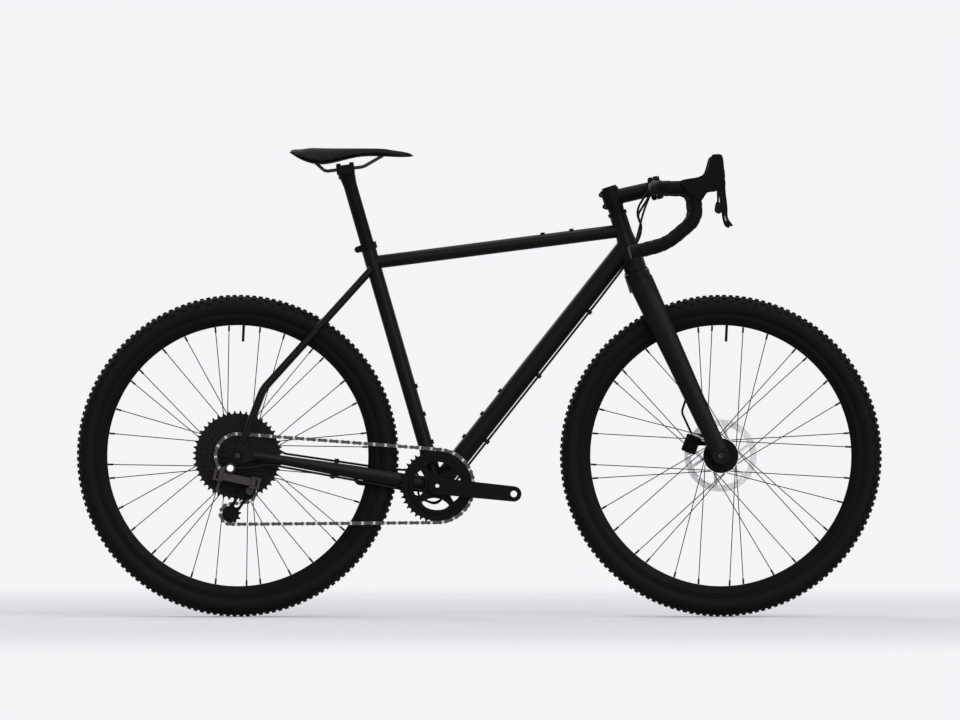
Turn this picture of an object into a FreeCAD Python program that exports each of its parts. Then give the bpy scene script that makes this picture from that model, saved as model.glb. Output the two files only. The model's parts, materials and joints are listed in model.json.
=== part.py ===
import FreeCAD, Part
import math
import os
from FreeCAD import Placement, Rotation, Vector

# Gravel bike, millimetres. X points forward, Y to the rider's left, Z up; the origin is on the
# ground midway between the axles. The drive side is at negative Y.

SIZES = (
    # Whole bike; the angles are in degrees
    ("wheelbase", 1068), ("chainstay_length", 446), ("bb_drop", 66.6),
    ("seat_angle", 73.84), ("head_angle", 72), ("fork_rake", 52), ("fork_length", 443.5),
    ("body_gap", 0.3), ("running_gap", 0.05), ("cut_overrun", 6),
    # Tyre and rim
    ("bead_radius", 311), ("tyre_height", 45), ("tread_height", 3.4), ("casing_section_radius", 21.8),
    ("casing_wall", 2.5), ("tyre_overhang", 2.7), ("bead_width", 2.8), ("bead_fit_gap", 0.2),
    ("shoulder_tread_height", 2.9),
    ("rim_hook_height", 5.5), ("rim_hook_width", 2), ("rim_width", 27), ("rim_depth", 28),
    ("rim_side_height", 12), ("rim_bed_width", 13), ("rim_shelf_width", 5.5), ("rim_well_depth", 2.5),
    ("rim_wall", 2),
    ("valve_radius", 3), ("valve_length", 56),
    # Spokes
    ("spoke_radius", 1), ("nipple_radius", 2.1), ("nipple_length", 12), ("spoke_side_offset", 1.3),
    ("nipple_side_offset", 2), ("flange_edge_gap", 0.2), ("nipple_gap", 0.5),
    # Front hub
    ("front_dropout_width", 100), ("thru_axle_radius", 6), ("axle_sleeve_radius", 9.5),
    ("front_flange_radius", 38.5), ("front_flange_width", 4), ("front_flange_offset", 26),
    ("front_drum_radius", 33), ("rotor_seat_radius", 23), ("flange_hole_inset", 4),
    ("front_rotor_offset", 39.5),
    # Rear hub
    ("rear_dropout_width", 142), ("rear_flange_radius", 29), ("rear_flange_width", 3.5),
    ("rear_left_flange_offset", 36), ("rear_right_flange_offset", 21), ("rear_shell_radius", 16),
    ("rear_rotor_offset", 55.7), ("freehub_axle_radius", 10),
    # Rotors
    ("rotor_radius", 80), ("rotor_track_width", 14.5), ("rotor_thickness", 1.8), ("rotor_arm_width", 7),
    ("rotor_hub_radius", 27), ("rotor_bolt_circle", 44), ("rotor_bolt_radius", 2.6),
    ("rotor_bore_radius", 17), ("rotor_vent_radius", 2.3), ("rotor_bolt_head_radius", 4),
    ("rotor_bolt_head_height", 2.5),
    # Head tube and headset
    ("head_tube_length", 128), ("head_lower_radius", 25), ("head_upper_radius", 18.9),
    ("head_lower_length", 40), ("head_taper_length", 45), ("head_wall", 2.6), ("lower_cup_height", 4.2),
    ("lower_cup_radius", 27), ("upper_cup_height", 8), ("upper_cup_radius", 21.2), ("cup_skirt_depth", 12),
    # Main tubes
    ("top_tube_radius", 14.6), ("top_tube_wall", 1), ("top_tube_seat_distance", 513.7),
    ("top_tube_head_distance", 92.7), ("down_tube_radius", 21.4), ("down_tube_wall", 1.1),
    ("down_tube_head_distance", 58.8), ("seat_tube_radius", 16.4), ("seat_tube_length", 556),
    ("seatpost_radius", 15), ("bb_shell_radius", 22.4), ("bb_shell_width", 68), ("bb_bore_radius", 17.2),
    ("bb_cup_radius", 22), ("bb_cup_width", 7),
    # Chainstays: half heights and half widths of the oval, and how far each place is off the centre plane
    ("stay_root_height", 13.5), ("stay_root_width", 8.5), ("stay_root_spread", 25),
    ("stay_belly_height", 15), ("stay_belly_width", 7.2), ("stay_belly_spread", 33.6),
    ("stay_belly_distance", 85), ("stay_tyre_spread", 38.5), ("stay_tyre_distance", 122),
    ("stay_taper_distance", 266), ("stay_taper_spread", 56.5), ("stay_taper_height", 12.2),
    ("stay_taper_width", 6.7), ("stay_end_height", 9.5), ("stay_end_width", 6.2), ("stay_end_spread", 74.5),
    ("stay_end_ahead", 36), ("stay_end_rise", 0.5),
    # Seatstays
    ("seatstay_radius", 8.2), ("seatstay_top_distance", 500), ("seatstay_top_spread", 13),
    ("seatstay_top_setback", 5), ("seatstay_bend_back", 56), ("seatstay_bend_rise", 147),
    ("seatstay_bend_spread", 68), ("seatstay_end_ahead", 12), ("seatstay_end_rise", 30),
    ("seatstay_end_spread", 74.5), ("seatstay_bend_radius", 70), ("seatstay_bridge_radius", 6),
    ("seatstay_bridge_height", 392), ("chainstay_bridge_distance", 64),
    # Dropouts and hanger
    ("dropout_thickness", 6), ("dropout_size", 40), ("hanger_thickness", 5), ("hanger_back", 15.3),
    ("hanger_down", 27.1), ("hanger_eye_radius", 10), ("hanger_root_radius", 13), ("hanger_bolt_radius", 3.4),
    ("axle_bore_radius", 3), ("axle_head_radius", 9), ("axle_head_width", 5),
    # Seat collar
    ("collar_wall", 3.6), ("collar_height", 15), ("collar_ear_radius", 7.2), ("collar_ear_width", 20),
    ("collar_bolt_radius", 3.2), ("collar_slot_width", 2), ("collar_drop", 2),
    # Fork
    ("steerer_radius", 14.3), ("steerer_bore_radius", 12.2), ("steerer_base_radius", 19),
    ("steerer_taper_length", 60), ("steerer_length", 190), ("crown_radius", 28.4), ("crown_height", 40),
    ("crown_drop", 18), ("leg_top_spread", 26), ("leg_top_depth", 28.2), ("leg_top_width", 20),
    ("leg_shoulder_spread", 44), ("leg_shoulder_depth", 26.6), ("leg_shoulder_width", 13),
    ("leg_middle_spread", 49.5), ("leg_middle_depth", 23), ("leg_middle_width", 11),
    ("leg_low_spread", 53.6), ("leg_low_depth", 20.2), ("leg_low_width", 8.6),
    ("leg_tip_spread", 56.8), ("leg_tip_depth", 18), ("leg_tip_width", 6.6), ("fork_arch_gap", 50),
    ("fork_arch_width", 60),
    # Stem and its spacers
    ("spacer_radius", 17.5), ("spacer_height", 10.5), ("stem_clamp_radius", 19.2), ("stem_clamp_height", 43),
    ("stem_slot_width", 2.4), ("pinch_boss_radius", 5.7), ("pinch_boss_offset", 21.6),
    ("pinch_boss_width", 22),
    ("pinch_boss_spacing", 27), ("pinch_bolt_radius", 2.5), ("stem_reach", 94), ("stem_rise", 21.4),
    ("stem_body_radius", 17), ("stem_neck_radius", 16.4), ("bar_clamp_radius", 21), ("bar_clamp_width", 44),
    ("faceplate_gap", 1.6), ("face_bolt_radius", 2.5), ("face_head_radius", 4.3),
    ("face_head_height", 4.5), ("face_bolt_rise", 20.4), ("face_bolt_spread", 14), ("face_bolt_length", 22),
    ("face_ear_radius", 5.4), ("face_ear_length", 10), ("top_cap_radius", 16.5), ("top_cap_height", 4.5),
    ("cap_bolt_radius", 3.2),
    # Handlebar
    ("bar_clamp_bar_radius", 15.9), ("bar_grip_radius", 11.9), ("bar_bulge_width", 74),
    ("bar_bulge_taper", 34),
    ("bar_wall", 2.2), ("bar_top_spread", 202), ("bar_corner_spread", 206), ("bar_hook_spread", 211),
    ("bar_drop_spread", 221), ("bar_end_spread", 232), ("bar_ramp_reach", 83), ("bar_hook_reach", 90),
    ("bar_drop_reach", 26), ("bar_end_setback", 55), ("bar_ramp_drop", 2), ("bar_hook_drop", 69),
    ("bar_drop_drop", 123), ("bar_end_drop", 144), ("bar_top_bend", 42), ("bar_ramp_bend", 29),
    ("bar_hook_bend", 46), ("bar_drop_bend", 110), ("tape_thickness", 3.6), ("tape_start", 96),
    ("plug_flange_radius", 14.8), ("plug_flange_height", 2.6), ("plug_stem_length", 18),
    # Lever bodies and levers; places are ahead of and above the bar clamp's centre
    ("hood_spread", 207), ("hood_back", 55), ("hood_low", 29), ("hood_length", 98), ("hood_height", 104),
    ("hood_half_width", 17.5),
    ("hood_edge_radius", 2.5), ("lever_pivot_ahead", 139), ("lever_pivot_rise", 17),
    ("lever_pivot_radius", 3), ("lever_thickness", 9), ("lever_slot_gap", 0.5), ("lever_slot_back", 14),
    ("lever_slot_rise", 9), ("lever_slot_depth", 25), ("lever_length", 104),
    ("paddle_thickness", 4), ("paddle_width", 14.5), ("paddle_height", 27),
    ("paddle_pin_radius", 2.2), ("paddle_pin_length", 18), ("paddle_setback", 3), ("paddle_drop", 45.5),
    ("paddle_pin_drop", 16.5), ("paddle_eye_width", 6), ("paddle_eye_radius", 4.4),
    ("paddle_arm_radius", 2.4), ("paddle_ahead", 1),
    # Seatpost, clamp and saddle; the saddle's places are shares of its length
    ("seatpost_insert", 190), ("seatpost_reach", 152), ("seatpost_wall", 2.4), ("post_head_length", 40),
    ("post_head_width", 58), ("post_head_height", 11), ("clamp_plate_height", 8), ("rail_radius", 3.5),
    ("rail_spread", 22), ("rail_fit_gap", 0.05), ("clamp_bolt_radius", 3), ("clamp_bolt_length", 30),
    ("clamp_bolt_spacing", 29), ("clamp_head_radius", 5), ("clamp_head_height", 4.5),
    ("saddle_length", 273), ("saddle_half_width", 72), ("saddle_height", 1034.5), ("saddle_tail_back", 419),
    ("saddle_shell_thickness", 3), ("saddle_depth", 34), ("rail_height", 990), ("rail_shift", 6),
    ("rail_back", 68), ("rail_back_spread", 30), ("rail_back_rise", 26), ("rail_bend_back", 45),
    ("rail_bend_ahead", 40), ("rail_front", 90), ("rail_front_spread", 10), ("rail_front_rise", 21.5),
    ("rail_bend_radius", 16), ("post_neck_radius", 19.5), ("post_neck_start", 136),
    ("clamp_plate_gap", 1),
    # Brake calipers
    ("caliper_length", 40), ("caliper_height", 33), ("caliper_half_width", 10.5), ("caliper_slot_width", 6.4),
    ("caliper_radius", 70), ("caliper_pad_thickness", 1.9), ("pad_length", 24), ("pad_height", 15),
    ("caliper_edge_radius", 4), ("caliper_piston_radius", 10),
    ("front_foot_width", 18), ("rear_foot_width", 18), ("caliper_slot_gap", 1.5), ("pad_shift", 2),
    ("pad_seat_gap", 0.1), ("front_foot_back", 46), ("front_foot_rise", 36), ("front_foot_inner", 44),
    ("rear_foot_ahead", 61), ("rear_foot_rise", 7.5), ("rear_foot_inner", 60),
    ("front_caliper_angle", 158.7), ("rear_caliper_angle", 30), ("caliper_foot_length", 36),
    ("caliper_foot_height", 28),
    # Crankset
    ("crank_length", 170), ("crank_tilt", -5.9), ("chain_line", 44.5), ("spindle_radius", 14.5),
    ("spindle_bore_radius", 11), ("crank_root_radius", 18.5), ("crank_eye_radius", 17),
    ("crank_arm_inner", 59), ("crank_arm_thickness", 13), ("crank_boss_inner", 42),
    ("pedal_hole_radius", 7.1),
    ("crank_hole_radius", 4.5), ("spider_radius", 61), ("spider_thickness", 4.5), ("window_outer", 55),
    ("window_inner", 27), ("window_corner", 50), ("chainring_thickness", 2), ("chainring_bore_radius", 53),
    ("ring_bolt_circle", 57), ("ring_bolt_radius", 4), ("ring_bolt_height", 1.6), ("ring_shank_radius", 2.6),
    # Chain
    ("chain_pitch", 12.7), ("roller_radius", 3.85), ("gullet_radius", 4), ("tooth_height", 2.7),
    ("tooth_tip_half_width", 0.9), ("pulley_tooth_height", 1.7), ("inner_plate_thickness", 0.75),
    ("outer_plate_thickness", 0.7), ("plate_height", 8.4), ("plate_waist", 6.4), ("roller_half_width", 1.12),
    ("plate_gap", 0.1), ("pin_radius", 1.75), ("pin_fit_gap", 0.05),
    # Cassette
    ("sprocket_thickness", 1.6), ("sprocket_spacing", 3.74), ("freehub_radius", 17),
    ("sprocket_rib", 9), ("lockring_radius", 16.5), ("lockring_width", 1.6), ("freehub_start", 25),
    # Derailleur; places are behind and below the rear axle
    ("guide_back", -18), ("guide_down", 80.3), ("tension_back", 12), ("tension_down", 131),
    ("cage_pivot_back", -28),
    ("cage_pivot_down", 77), ("link_rear_back", 37), ("link_rear_down", 43), ("link_front_back", -35),
    ("link_front_down", 59), ("link_rear_offset", 88), ("link_front_offset", 75), ("link_half_height", 8.5),
    ("link_thickness", 4.6), ("link_inner_shift", 12), ("link_eye_radius", 6), ("link_pin_radius", 2),
    ("knuckle_radius", 10.5), ("knuckle_bolt_radius", 7), ("knuckle_bolt_height", 3), ("knuckle_width", 12),
    ("cage_thickness", 1.5), ("cage_gap", 4.75), ("cage_eye_radius", 11.5), ("cage_pivot_radius", 12.5),
    ("pulley_thickness", 1.8), ("pulley_pin_radius", 2.4), ("cable_arm_length", 24),
    ("cage_window_radius", 5.5), ("cage_stub_radius", 6), ("cage_stub_length", 12),
    ("knuckle_plate", 3.5), ("knuckle_web_shift", 9), ("knuckle_neck_radius", 5), ("cable_arm_back", 6),
    ("cable_arm_radius", 3), ("lower_barrel_radius", 9), ("lower_barrel_width", 16),
    # Hoses, bosses and clips
    ("hose_radius", 2.5), ("hose_gap", 1.6), ("hose_spread", 7), ("clip_wall", 1.6), ("clip_length", 9),
    ("boss_radius", 5), ("boss_height", 3.6), ("boss_hole_radius", 2.1), ("boss_spacing", 64),
    ("boss_relief_radius", 2.7), ("boss_relief_height", 0.4),
    ("fork_boss_height", 3), ("fork_boss_start", 163), ("down_boss_start", 123), ("seat_boss_start", 97),
    ("top_boss_start", 113), ("port_height", 57.5), ("port_ahead", 20.5), ("port_spread", 29),
    ("port_foot_height", 11), ("port_foot_back", 28), ("port_clip_inset", 5), ("port_clip_height", 16),
    ("hose_gather_distance", 540), ("hose_shell_pass", 34), ("housing_stay_distance", 378),
    ("housing_stay_spread", 70), ("housing_lead", 30), ("hose_bend", 60), ("hose_tight_bend", 18),
    ("hose_shell_bend", 25),
    ("hose_rise_back", 42), ("hose_rise_low", 26), ("hose_rise_high", 33), ("hose_rise_spread", 12),
    ("hose_stay_start", 112), ("hose_stay_start_spread", 37), ("hose_stay_end", 345),
    ("hose_stay_end_spread", 66),
    ("hose_stay_end_height", 10.5), ("hose_end_ahead", 70), ("hose_end_spread", 60), ("hose_end_rise", 24),
    ("clip_low_distance", 145), ("clip_middle_distance", 330), ("clip_high_distance", 510), ("loop_lead", 32),
    ("loop_back", 30), ("loop_across", 62), ("loop_shift_across", 34), ("loop_drop", 48), ("loop_bend", 58),
    ("loop_low_bend", 44), ("crown_port_drop", 32), ("crown_port_ahead", 16), ("crown_port_spread", 41),
    ("crown_port_lead", 90), ("loop_front_back", 16), ("loop_front_across", 40), ("loop_front_drop", 40),
    ("front_hose_exit_back", 74), ("front_hose_exit_spread", 54), ("front_hose_exit_rise", 134),
    ("front_hose_knee_back", 86), ("front_hose_knee_rise", 96), ("front_hose_end_back", 60),
    ("front_hose_end_spread", 42), ("front_hose_end_rise", 40),
)

# Counts of teeth, spokes and tread cells
CHAINRING_TEETH = 40
SPROCKETS = (48, 40, 34, 28, 24, 21, 19, 17, 15, 13, 11)
CHAIN_SPROCKET = 24
PULLEY_TEETH = 11
SPOKE_GROUPS = 8
TREAD_CELLS = 76
ROTOR_ARMS = 6
ROTOR_VENTS = 24

X_DIR = Vector(1, 0, 0)
Y_DIR = Vector(0, 1, 0)
Z_DIR = Vector(0, 0, 1)

doc = FreeCAD.newDocument("gravel_bike")
sheet = doc.addObject("Spreadsheet::Sheet", "Sizes")
for row, (size_name, size_value) in enumerate(SIZES, 1):
    sheet.set("A%d" % row, size_name)
    sheet.set("B%d" % row, str(size_value))
    sheet.setAlias("B%d" % row, size_name)
doc.recompute()

NODES = {}


class Quantity:
    """A size with its number and the sheet expression that gives it."""

    def __init__(self, value, expr):
        self.value = value
        self.expr = expr

    def __float__(self):
        return self.value

    def __neg__(self):
        return Quantity(-self.value, "-(%s)" % self.expr)

    def __add__(self, other):
        return joined(self, "+", other)

    def __radd__(self, other):
        return joined(as_quantity(other), "+", self)

    def __sub__(self, other):
        return joined(self, "-", other)

    def __rsub__(self, other):
        return joined(as_quantity(other), "-", self)

    def __mul__(self, other):
        return joined(self, "*", other)

    def __rmul__(self, other):
        return joined(as_quantity(other), "*", self)

    def __truediv__(self, other):
        return joined(self, "/", other)


def as_quantity(item):
    if isinstance(item, Quantity):
        return item
    return Quantity(float(item), repr(float(item)))


def joined(left, sign, right):
    right = as_quantity(right)
    results = {
        "+": left.value + right.value,
        "-": left.value - right.value,
        "*": left.value * right.value,
    }
    value = left.value / right.value if sign == "/" else results[sign]
    return Quantity(value, "(%s %s %s)" % (left.expr, sign, right.expr))


class SheetSizes:
    """Reads one named size of the sheet as a Quantity."""

    def __getattr__(self, name):
        return Quantity(float(sheet.get(name)), "Sizes." + name)


S = SheetSizes()


def size(name):
    return float(sheet.get(name))


def node(label, *objects):
    """Names the object, or the group of objects, that makes one node."""
    if len(objects) == 1:
        holder = objects[0]
    else:
        holder = doc.addObject("Part::Compound", label)
        holder.Links = list(objects)
    holder.Label = label
    NODES[label] = holder
    return holder


def place(origin, axis, across=None):
    """A Placement with its own Z along axis and its own X near across."""
    if across is None:
        return Placement(origin, Rotation(Z_DIR, axis))
    return Placement(origin, Rotation(across, Vector(), axis, "ZXY"))


def rod(name, radius, start, end, height=None):
    """A cylinder from start to end, its height bound when a size gives it."""
    made = doc.addObject("Part::Cylinder", name)
    made.setExpression("Radius", radius.expr)
    if height is None:
        made.Height = (end - start).Length
    else:
        made.setExpression("Height", height.expr)
    made.Placement = place(start, end - start)
    return made


def across_rod(name, radius, centre, low, high):
    """A cylinder along Y through centre, from low to high."""
    start = Vector(centre.x, float(low), centre.z)
    end = Vector(centre.x, float(high), centre.z)
    return rod(name, radius, start, end, as_quantity(high) - as_quantity(low))


def cone(name, radius_start, radius_end, start, end):
    made = doc.addObject("Part::Cone", name)
    made.setExpression("Radius1", radius_start.expr)
    made.setExpression("Radius2", radius_end.expr)
    made.Height = (end - start).Length
    made.Placement = place(start, end - start)
    return made


def block(name, length, width, height, centre, axis=Z_DIR, across=X_DIR):
    """A box about its centre; height runs along axis and length along across."""
    made = doc.addObject("Part::Box", name)
    made.setExpression("Length", length.expr)
    made.setExpression("Width", width.expr)
    made.setExpression("Height", height.expr)
    turn = Rotation(across, Vector(), axis, "ZXY")
    corner = Vector(-float(length) / 2, -float(width) / 2, -float(height) / 2)
    made.Placement = Placement(centre + turn.multVec(corner), turn)
    return made


def cut(name, base, *tools):
    for number, tool in enumerate(tools):
        made = doc.addObject("Part::Cut", "%s_cut%d" % (name, number))
        made.Base = base
        made.Tool = tool
        base = made
    return base


def fuse(name, *shapes):
    made = doc.addObject("Part::MultiFuse", name)
    made.Shapes = list(shapes)
    return made


def oval(name, major, minor, centre, normal, major_dir):
    made = doc.addObject("Part::Ellipse", name)
    made.setExpression("MajorRadius", major.expr)
    made.setExpression("MinorRadius", minor.expr)
    made.Placement = Placement(centre, Rotation(major_dir, Vector(), normal, "ZXY"))
    return made


def loft(name, sections, ruled=False):
    made = doc.addObject("Part::Loft", name)
    made.Sections = sections
    made.Solid = True
    made.Ruled = ruled
    return made


def bent_wire(points, bends):
    """Straight runs between the points with a tangent arc at each inner point."""
    edges = []
    start = points[0]
    for index in range(1, len(points) - 1):
        corner = points[index]
        back = (points[index - 1] - corner).normalize()
        on = (points[index + 1] - corner).normalize()
        half = back.getAngle(on) / 2
        reach = float(bends[index - 1]) / math.tan(half)
        first = corner + back * reach
        last = corner + on * reach
        inward = (back + on).normalize()
        depth = float(bends[index - 1]) / math.sin(half) - float(bends[index - 1])
        edges.append(Part.makeLine(start, first))
        edges.append(Part.Arc(first, corner + inward * depth, last).toShape())
        start = last
    edges.append(Part.makeLine(start, points[-1]))
    return Part.Wire(edges)


def pipe(name, radius, points, bends):
    """A round bar swept along straight runs and tangent arcs."""
    spine = doc.addObject("Part::Feature", name + "_route")
    spine.Shape = bent_wire(points, bends)
    ring = doc.addObject("Part::Circle", name + "_ring")
    ring.setExpression("Radius", radius.expr)
    ring.Placement = place(points[0], points[1] - points[0])
    made = doc.addObject("Part::Sweep", name)
    made.Sections = [ring]
    made.Spine = (spine, ["Edge%d" % (i + 1) for i in range(len(spine.Shape.Edges))])
    made.Solid = True
    return made


def mirrored(name, source):
    """The same piece on the other side of the bike's middle plane."""
    made = doc.addObject("Part::Mirroring", name)
    made.Source = source
    made.Base = Vector()
    made.Normal = Y_DIR
    return made


def origin_plane(body, role):
    return next(item for item in body.Origin.OriginFeatures if item.Role == role)


def turned(name, points, base, axis):
    """A body turned about its axis; points are (radius, height) sizes in order round the section."""
    body = doc.addObject("PartDesign::Body", name)
    sketch = body.newObject("Sketcher::SketchObject", name + "_section")
    sketch.AttachmentSupport = [(origin_plane(body, "XZ_Plane"), "")]
    sketch.MapMode = "FlatFace"
    places = [Vector(float(r), float(h), 0) for r, h in points]
    count = len(places)
    for index in range(count):
        sketch.addGeometry(Part.LineSegment(places[index], places[(index + 1) % count]), False)
    for index in range(count):
        sketch.addConstraint(Sketch("Coincident", index, 2, (index + 1) % count, 1))
    for index, point in enumerate(points):
        for kind, value, line in (("DistanceX", point[0], -2), ("DistanceY", point[1], -1)):
            value = as_quantity(value)
            if float(value) == 0:
                sketch.addConstraint(Sketch("PointOnObject", index, 1, line))
                continue
            number = sketch.addConstraint(Sketch(kind, index, 1, float(value)))
            sketch.setExpression("Constraints[%d]" % number, value.expr)
    made = body.newObject("PartDesign::Revolution", name + "_turn")
    made.Profile = sketch
    made.ReferenceAxis = (sketch, ["V_Axis"])
    made.Angle = 360
    sketch.Visibility = False
    body.Placement = place(base, axis)
    return body


def Sketch(*facts):
    import Sketcher

    return Sketcher.Constraint(*facts)


SIDE_TURN = Rotation(X_DIR, 90)


def plate(name, outlines, thickness, centre, left_face):
    """A pad of outlines drawn in the side view about centre, from left_face towards the drive side."""
    body = doc.addObject("PartDesign::Body", name)
    sketch = body.newObject("Sketcher::SketchObject", name + "_outline")
    sketch.AttachmentSupport = [(origin_plane(body, "XY_Plane"), "")]
    sketch.MapMode = "FlatFace"
    for outline in outlines:
        sketch.addGeometry(outline, False)
    made = body.newObject("PartDesign::Pad", name + "_pad")
    made.Profile = sketch
    made.setExpression("Length", thickness.expr)
    sketch.Visibility = False
    body.Placement = Placement(Vector(centre.x, float(left_face), centre.z), SIDE_TURN)
    return body


def flat(x, z):
    return Vector(float(x), float(z), 0)


def polar(radius, degrees):
    turn = math.radians(degrees)
    return Vector(float(radius) * math.cos(turn), float(radius) * math.sin(turn), 0)


def circle(centre, radius):
    return Part.Circle(centre, Vector(0, 0, 1), float(radius))


def closed_lines(points):
    return [Part.LineSegment(points[i], points[(i + 1) % len(points)]) for i in range(len(points))]


def arc_through(first, middle, last):
    return Part.Arc(first, middle, last)


def tangent_link(centre_a, radius_a, centre_b, radius_b):
    """The outline round two circles: two arcs and the two lines that touch both."""
    gap = centre_b - centre_a
    heading = math.degrees(math.atan2(gap.y, gap.x))
    lean = math.degrees(math.acos((float(radius_a) - float(radius_b)) / gap.Length))
    a_up = centre_a + polar(radius_a, heading + lean)
    a_low = centre_a + polar(radius_a, heading - lean)
    b_up = centre_b + polar(radius_b, heading + lean)
    b_low = centre_b + polar(radius_b, heading - lean)
    return [
        arc_through(a_up, centre_a + polar(radius_a, heading + 180), a_low),
        Part.LineSegment(a_low, b_low),
        arc_through(b_low, centre_b + polar(radius_b, heading), b_up),
        Part.LineSegment(b_up, a_up),
    ]


# Places that the whole bike hangs on
WHEEL_RADIUS = size("bead_radius") + size("tyre_height")
REAR_AXLE = Vector(-size("wheelbase") / 2, 0, WHEEL_RADIUS)
FRONT_AXLE = Vector(size("wheelbase") / 2, 0, WHEEL_RADIUS)
STAY_RUN = math.sqrt(size("chainstay_length") ** 2 - size("bb_drop") ** 2)
BB = REAR_AXLE + Vector(STAY_RUN, 0, -size("bb_drop"))
SEAT_TURN = math.radians(size("seat_angle"))
SEAT_DIR = Vector(-math.cos(SEAT_TURN), 0, math.sin(SEAT_TURN))
HEAD_TURN = math.radians(size("head_angle"))
STEER_DIR = Vector(-math.cos(HEAD_TURN), 0, math.sin(HEAD_TURN))
STEER_AHEAD = Vector(math.sin(HEAD_TURN), 0, math.cos(HEAD_TURN))
STEER_FOOT = FRONT_AXLE - STEER_AHEAD * size("fork_rake")
HEAD_LOW = size("fork_length") + size("lower_cup_height") + size("body_gap")
HEAD_TOP = HEAD_LOW + size("head_tube_length")


def on_steer(distance):
    return STEER_FOOT + STEER_DIR * float(distance)


def on_seat(distance):
    return BB + SEAT_DIR * float(distance)


# Main frame tubes
def head_section(inset):
    low = S.head_lower_radius - inset
    top = S.head_upper_radius - inset
    taper_top = S.head_lower_length + S.head_taper_length
    return (low, 0), (low, S.head_lower_length), (top, taper_top), (top, S.head_tube_length)


outer_points = head_section(0)
bore_points = head_section(S.head_wall)
head_tube = turned("head_tube", outer_points + tuple(reversed(bore_points)), on_steer(HEAD_LOW), STEER_DIR)
node("head_tube", head_tube)
blank_points = outer_points + ((0, S.head_tube_length), (0, 0))
head_blank = turned("head_blank", blank_points, on_steer(HEAD_LOW), STEER_DIR)

SHELL_HALF = S.bb_shell_width / 2
bb_blank = across_rod("bb_blank", S.bb_shell_radius, BB, -SHELL_HALF, SHELL_HALF)
bb_hole = across_rod("bb_hole", S.bb_bore_radius, BB, -SHELL_HALF, SHELL_HALF)
node("bottom_bracket_shell", cut("bb_shell", bb_blank, bb_hole))

SEAT_TOP = on_seat(size("seat_tube_length"))
POST_BORE = S.seatpost_radius + S.running_gap
seat_blank = rod("seat_blank", S.seat_tube_radius, BB, SEAT_TOP)
seat_hole = rod("seat_hole", POST_BORE, BB, SEAT_TOP + SEAT_DIR * size("cut_overrun"))
seat_slot_centre = SEAT_TOP - SEAT_DIR.cross(Y_DIR) * -size("seat_tube_radius")
seat_slot = block(
    "seat_slot", S.seat_tube_radius, S.collar_slot_width, S.collar_height * 2, seat_slot_centre, SEAT_DIR,
    SEAT_DIR.cross(Y_DIR),
)
node("seat_tube", cut("seat_tube_body", seat_blank, seat_hole, bb_blank, seat_slot))

DOWN_END = on_steer(HEAD_LOW + size("down_tube_head_distance"))
down_blank = rod("down_blank", S.down_tube_radius, BB, DOWN_END)
down_hole = rod("down_hole", S.down_tube_radius - S.down_tube_wall, BB, DOWN_END)
node("down_tube", cut("down_tube_body", down_blank, down_hole, head_blank, bb_blank, seat_blank))
DOWN_DIR = (DOWN_END - BB).normalize()
DOWN_UNDER = Y_DIR.cross(DOWN_DIR)

TOP_START = on_seat(size("top_tube_seat_distance"))
TOP_END = on_steer(HEAD_LOW + size("top_tube_head_distance"))
top_blank = rod("top_blank", S.top_tube_radius, TOP_START, TOP_END)
top_hole = rod("top_hole", S.top_tube_radius - S.top_tube_wall, TOP_START, TOP_END)
node("top_tube", cut("top_tube_body", top_blank, top_hole, head_blank, seat_blank, down_blank))
TOP_DIR = (TOP_END - TOP_START).normalize()

# Chainstays: an oval loft that narrows past the chainring and the tyre
STAY_DIR = (REAR_AXLE - BB).normalize()
STAY_END = REAR_AXLE + Vector(size("stay_end_ahead"), 0, size("stay_end_rise"))


def stay_point(distance, spread):
    share = float(distance) / (STAY_END - BB).Length
    middle = BB + (STAY_END - BB) * share
    return Vector(middle.x, -float(spread), middle.z)


STAY_LENGTH = (STAY_END - BB).Length
stay_places = (
    (0, S.stay_root_spread, S.stay_root_height, S.stay_root_width),
    (S.stay_belly_distance, S.stay_belly_spread, S.stay_belly_height, S.stay_belly_width),
    (S.stay_tyre_distance, S.stay_tyre_spread, S.stay_belly_height, S.stay_belly_width),
    (S.stay_taper_distance, S.stay_taper_spread, S.stay_taper_height, S.stay_taper_width),
    (STAY_LENGTH, S.stay_end_spread, S.stay_end_height, S.stay_end_width),
)
cup_end = SHELL_HALF + S.bb_cup_width
bb_room = across_rod("bb_room", S.bb_shell_radius, BB, -cup_end, cup_end)
stay_ovals = []
STAY_NORMAL = (STAY_END - BB).normalize()
STAY_UP = Y_DIR.cross(STAY_NORMAL) * -1
for number, (distance, spread, tall, wide) in enumerate(stay_places):
    stay_ovals.append(
        oval("stay_oval%d" % number, tall, wide, stay_point(distance, spread), STAY_NORMAL, STAY_UP)
    )
stay_loft = loft("chainstay_loft", stay_ovals)
right_chainstay = cut("right_chainstay", stay_loft, bb_room, seat_blank)
left_chainstay = mirrored("left_chainstay", right_chainstay)
stay_bridge_centre = stay_point(S.chainstay_bridge_distance, S.stay_root_spread)
stay_bridge_rod = across_rod(
    "stay_bridge_rod", S.seatstay_bridge_radius, stay_bridge_centre, -S.stay_belly_spread, S.stay_belly_spread
)
stay_bridge = cut("stay_bridge", stay_bridge_rod, right_chainstay, left_chainstay)

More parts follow.
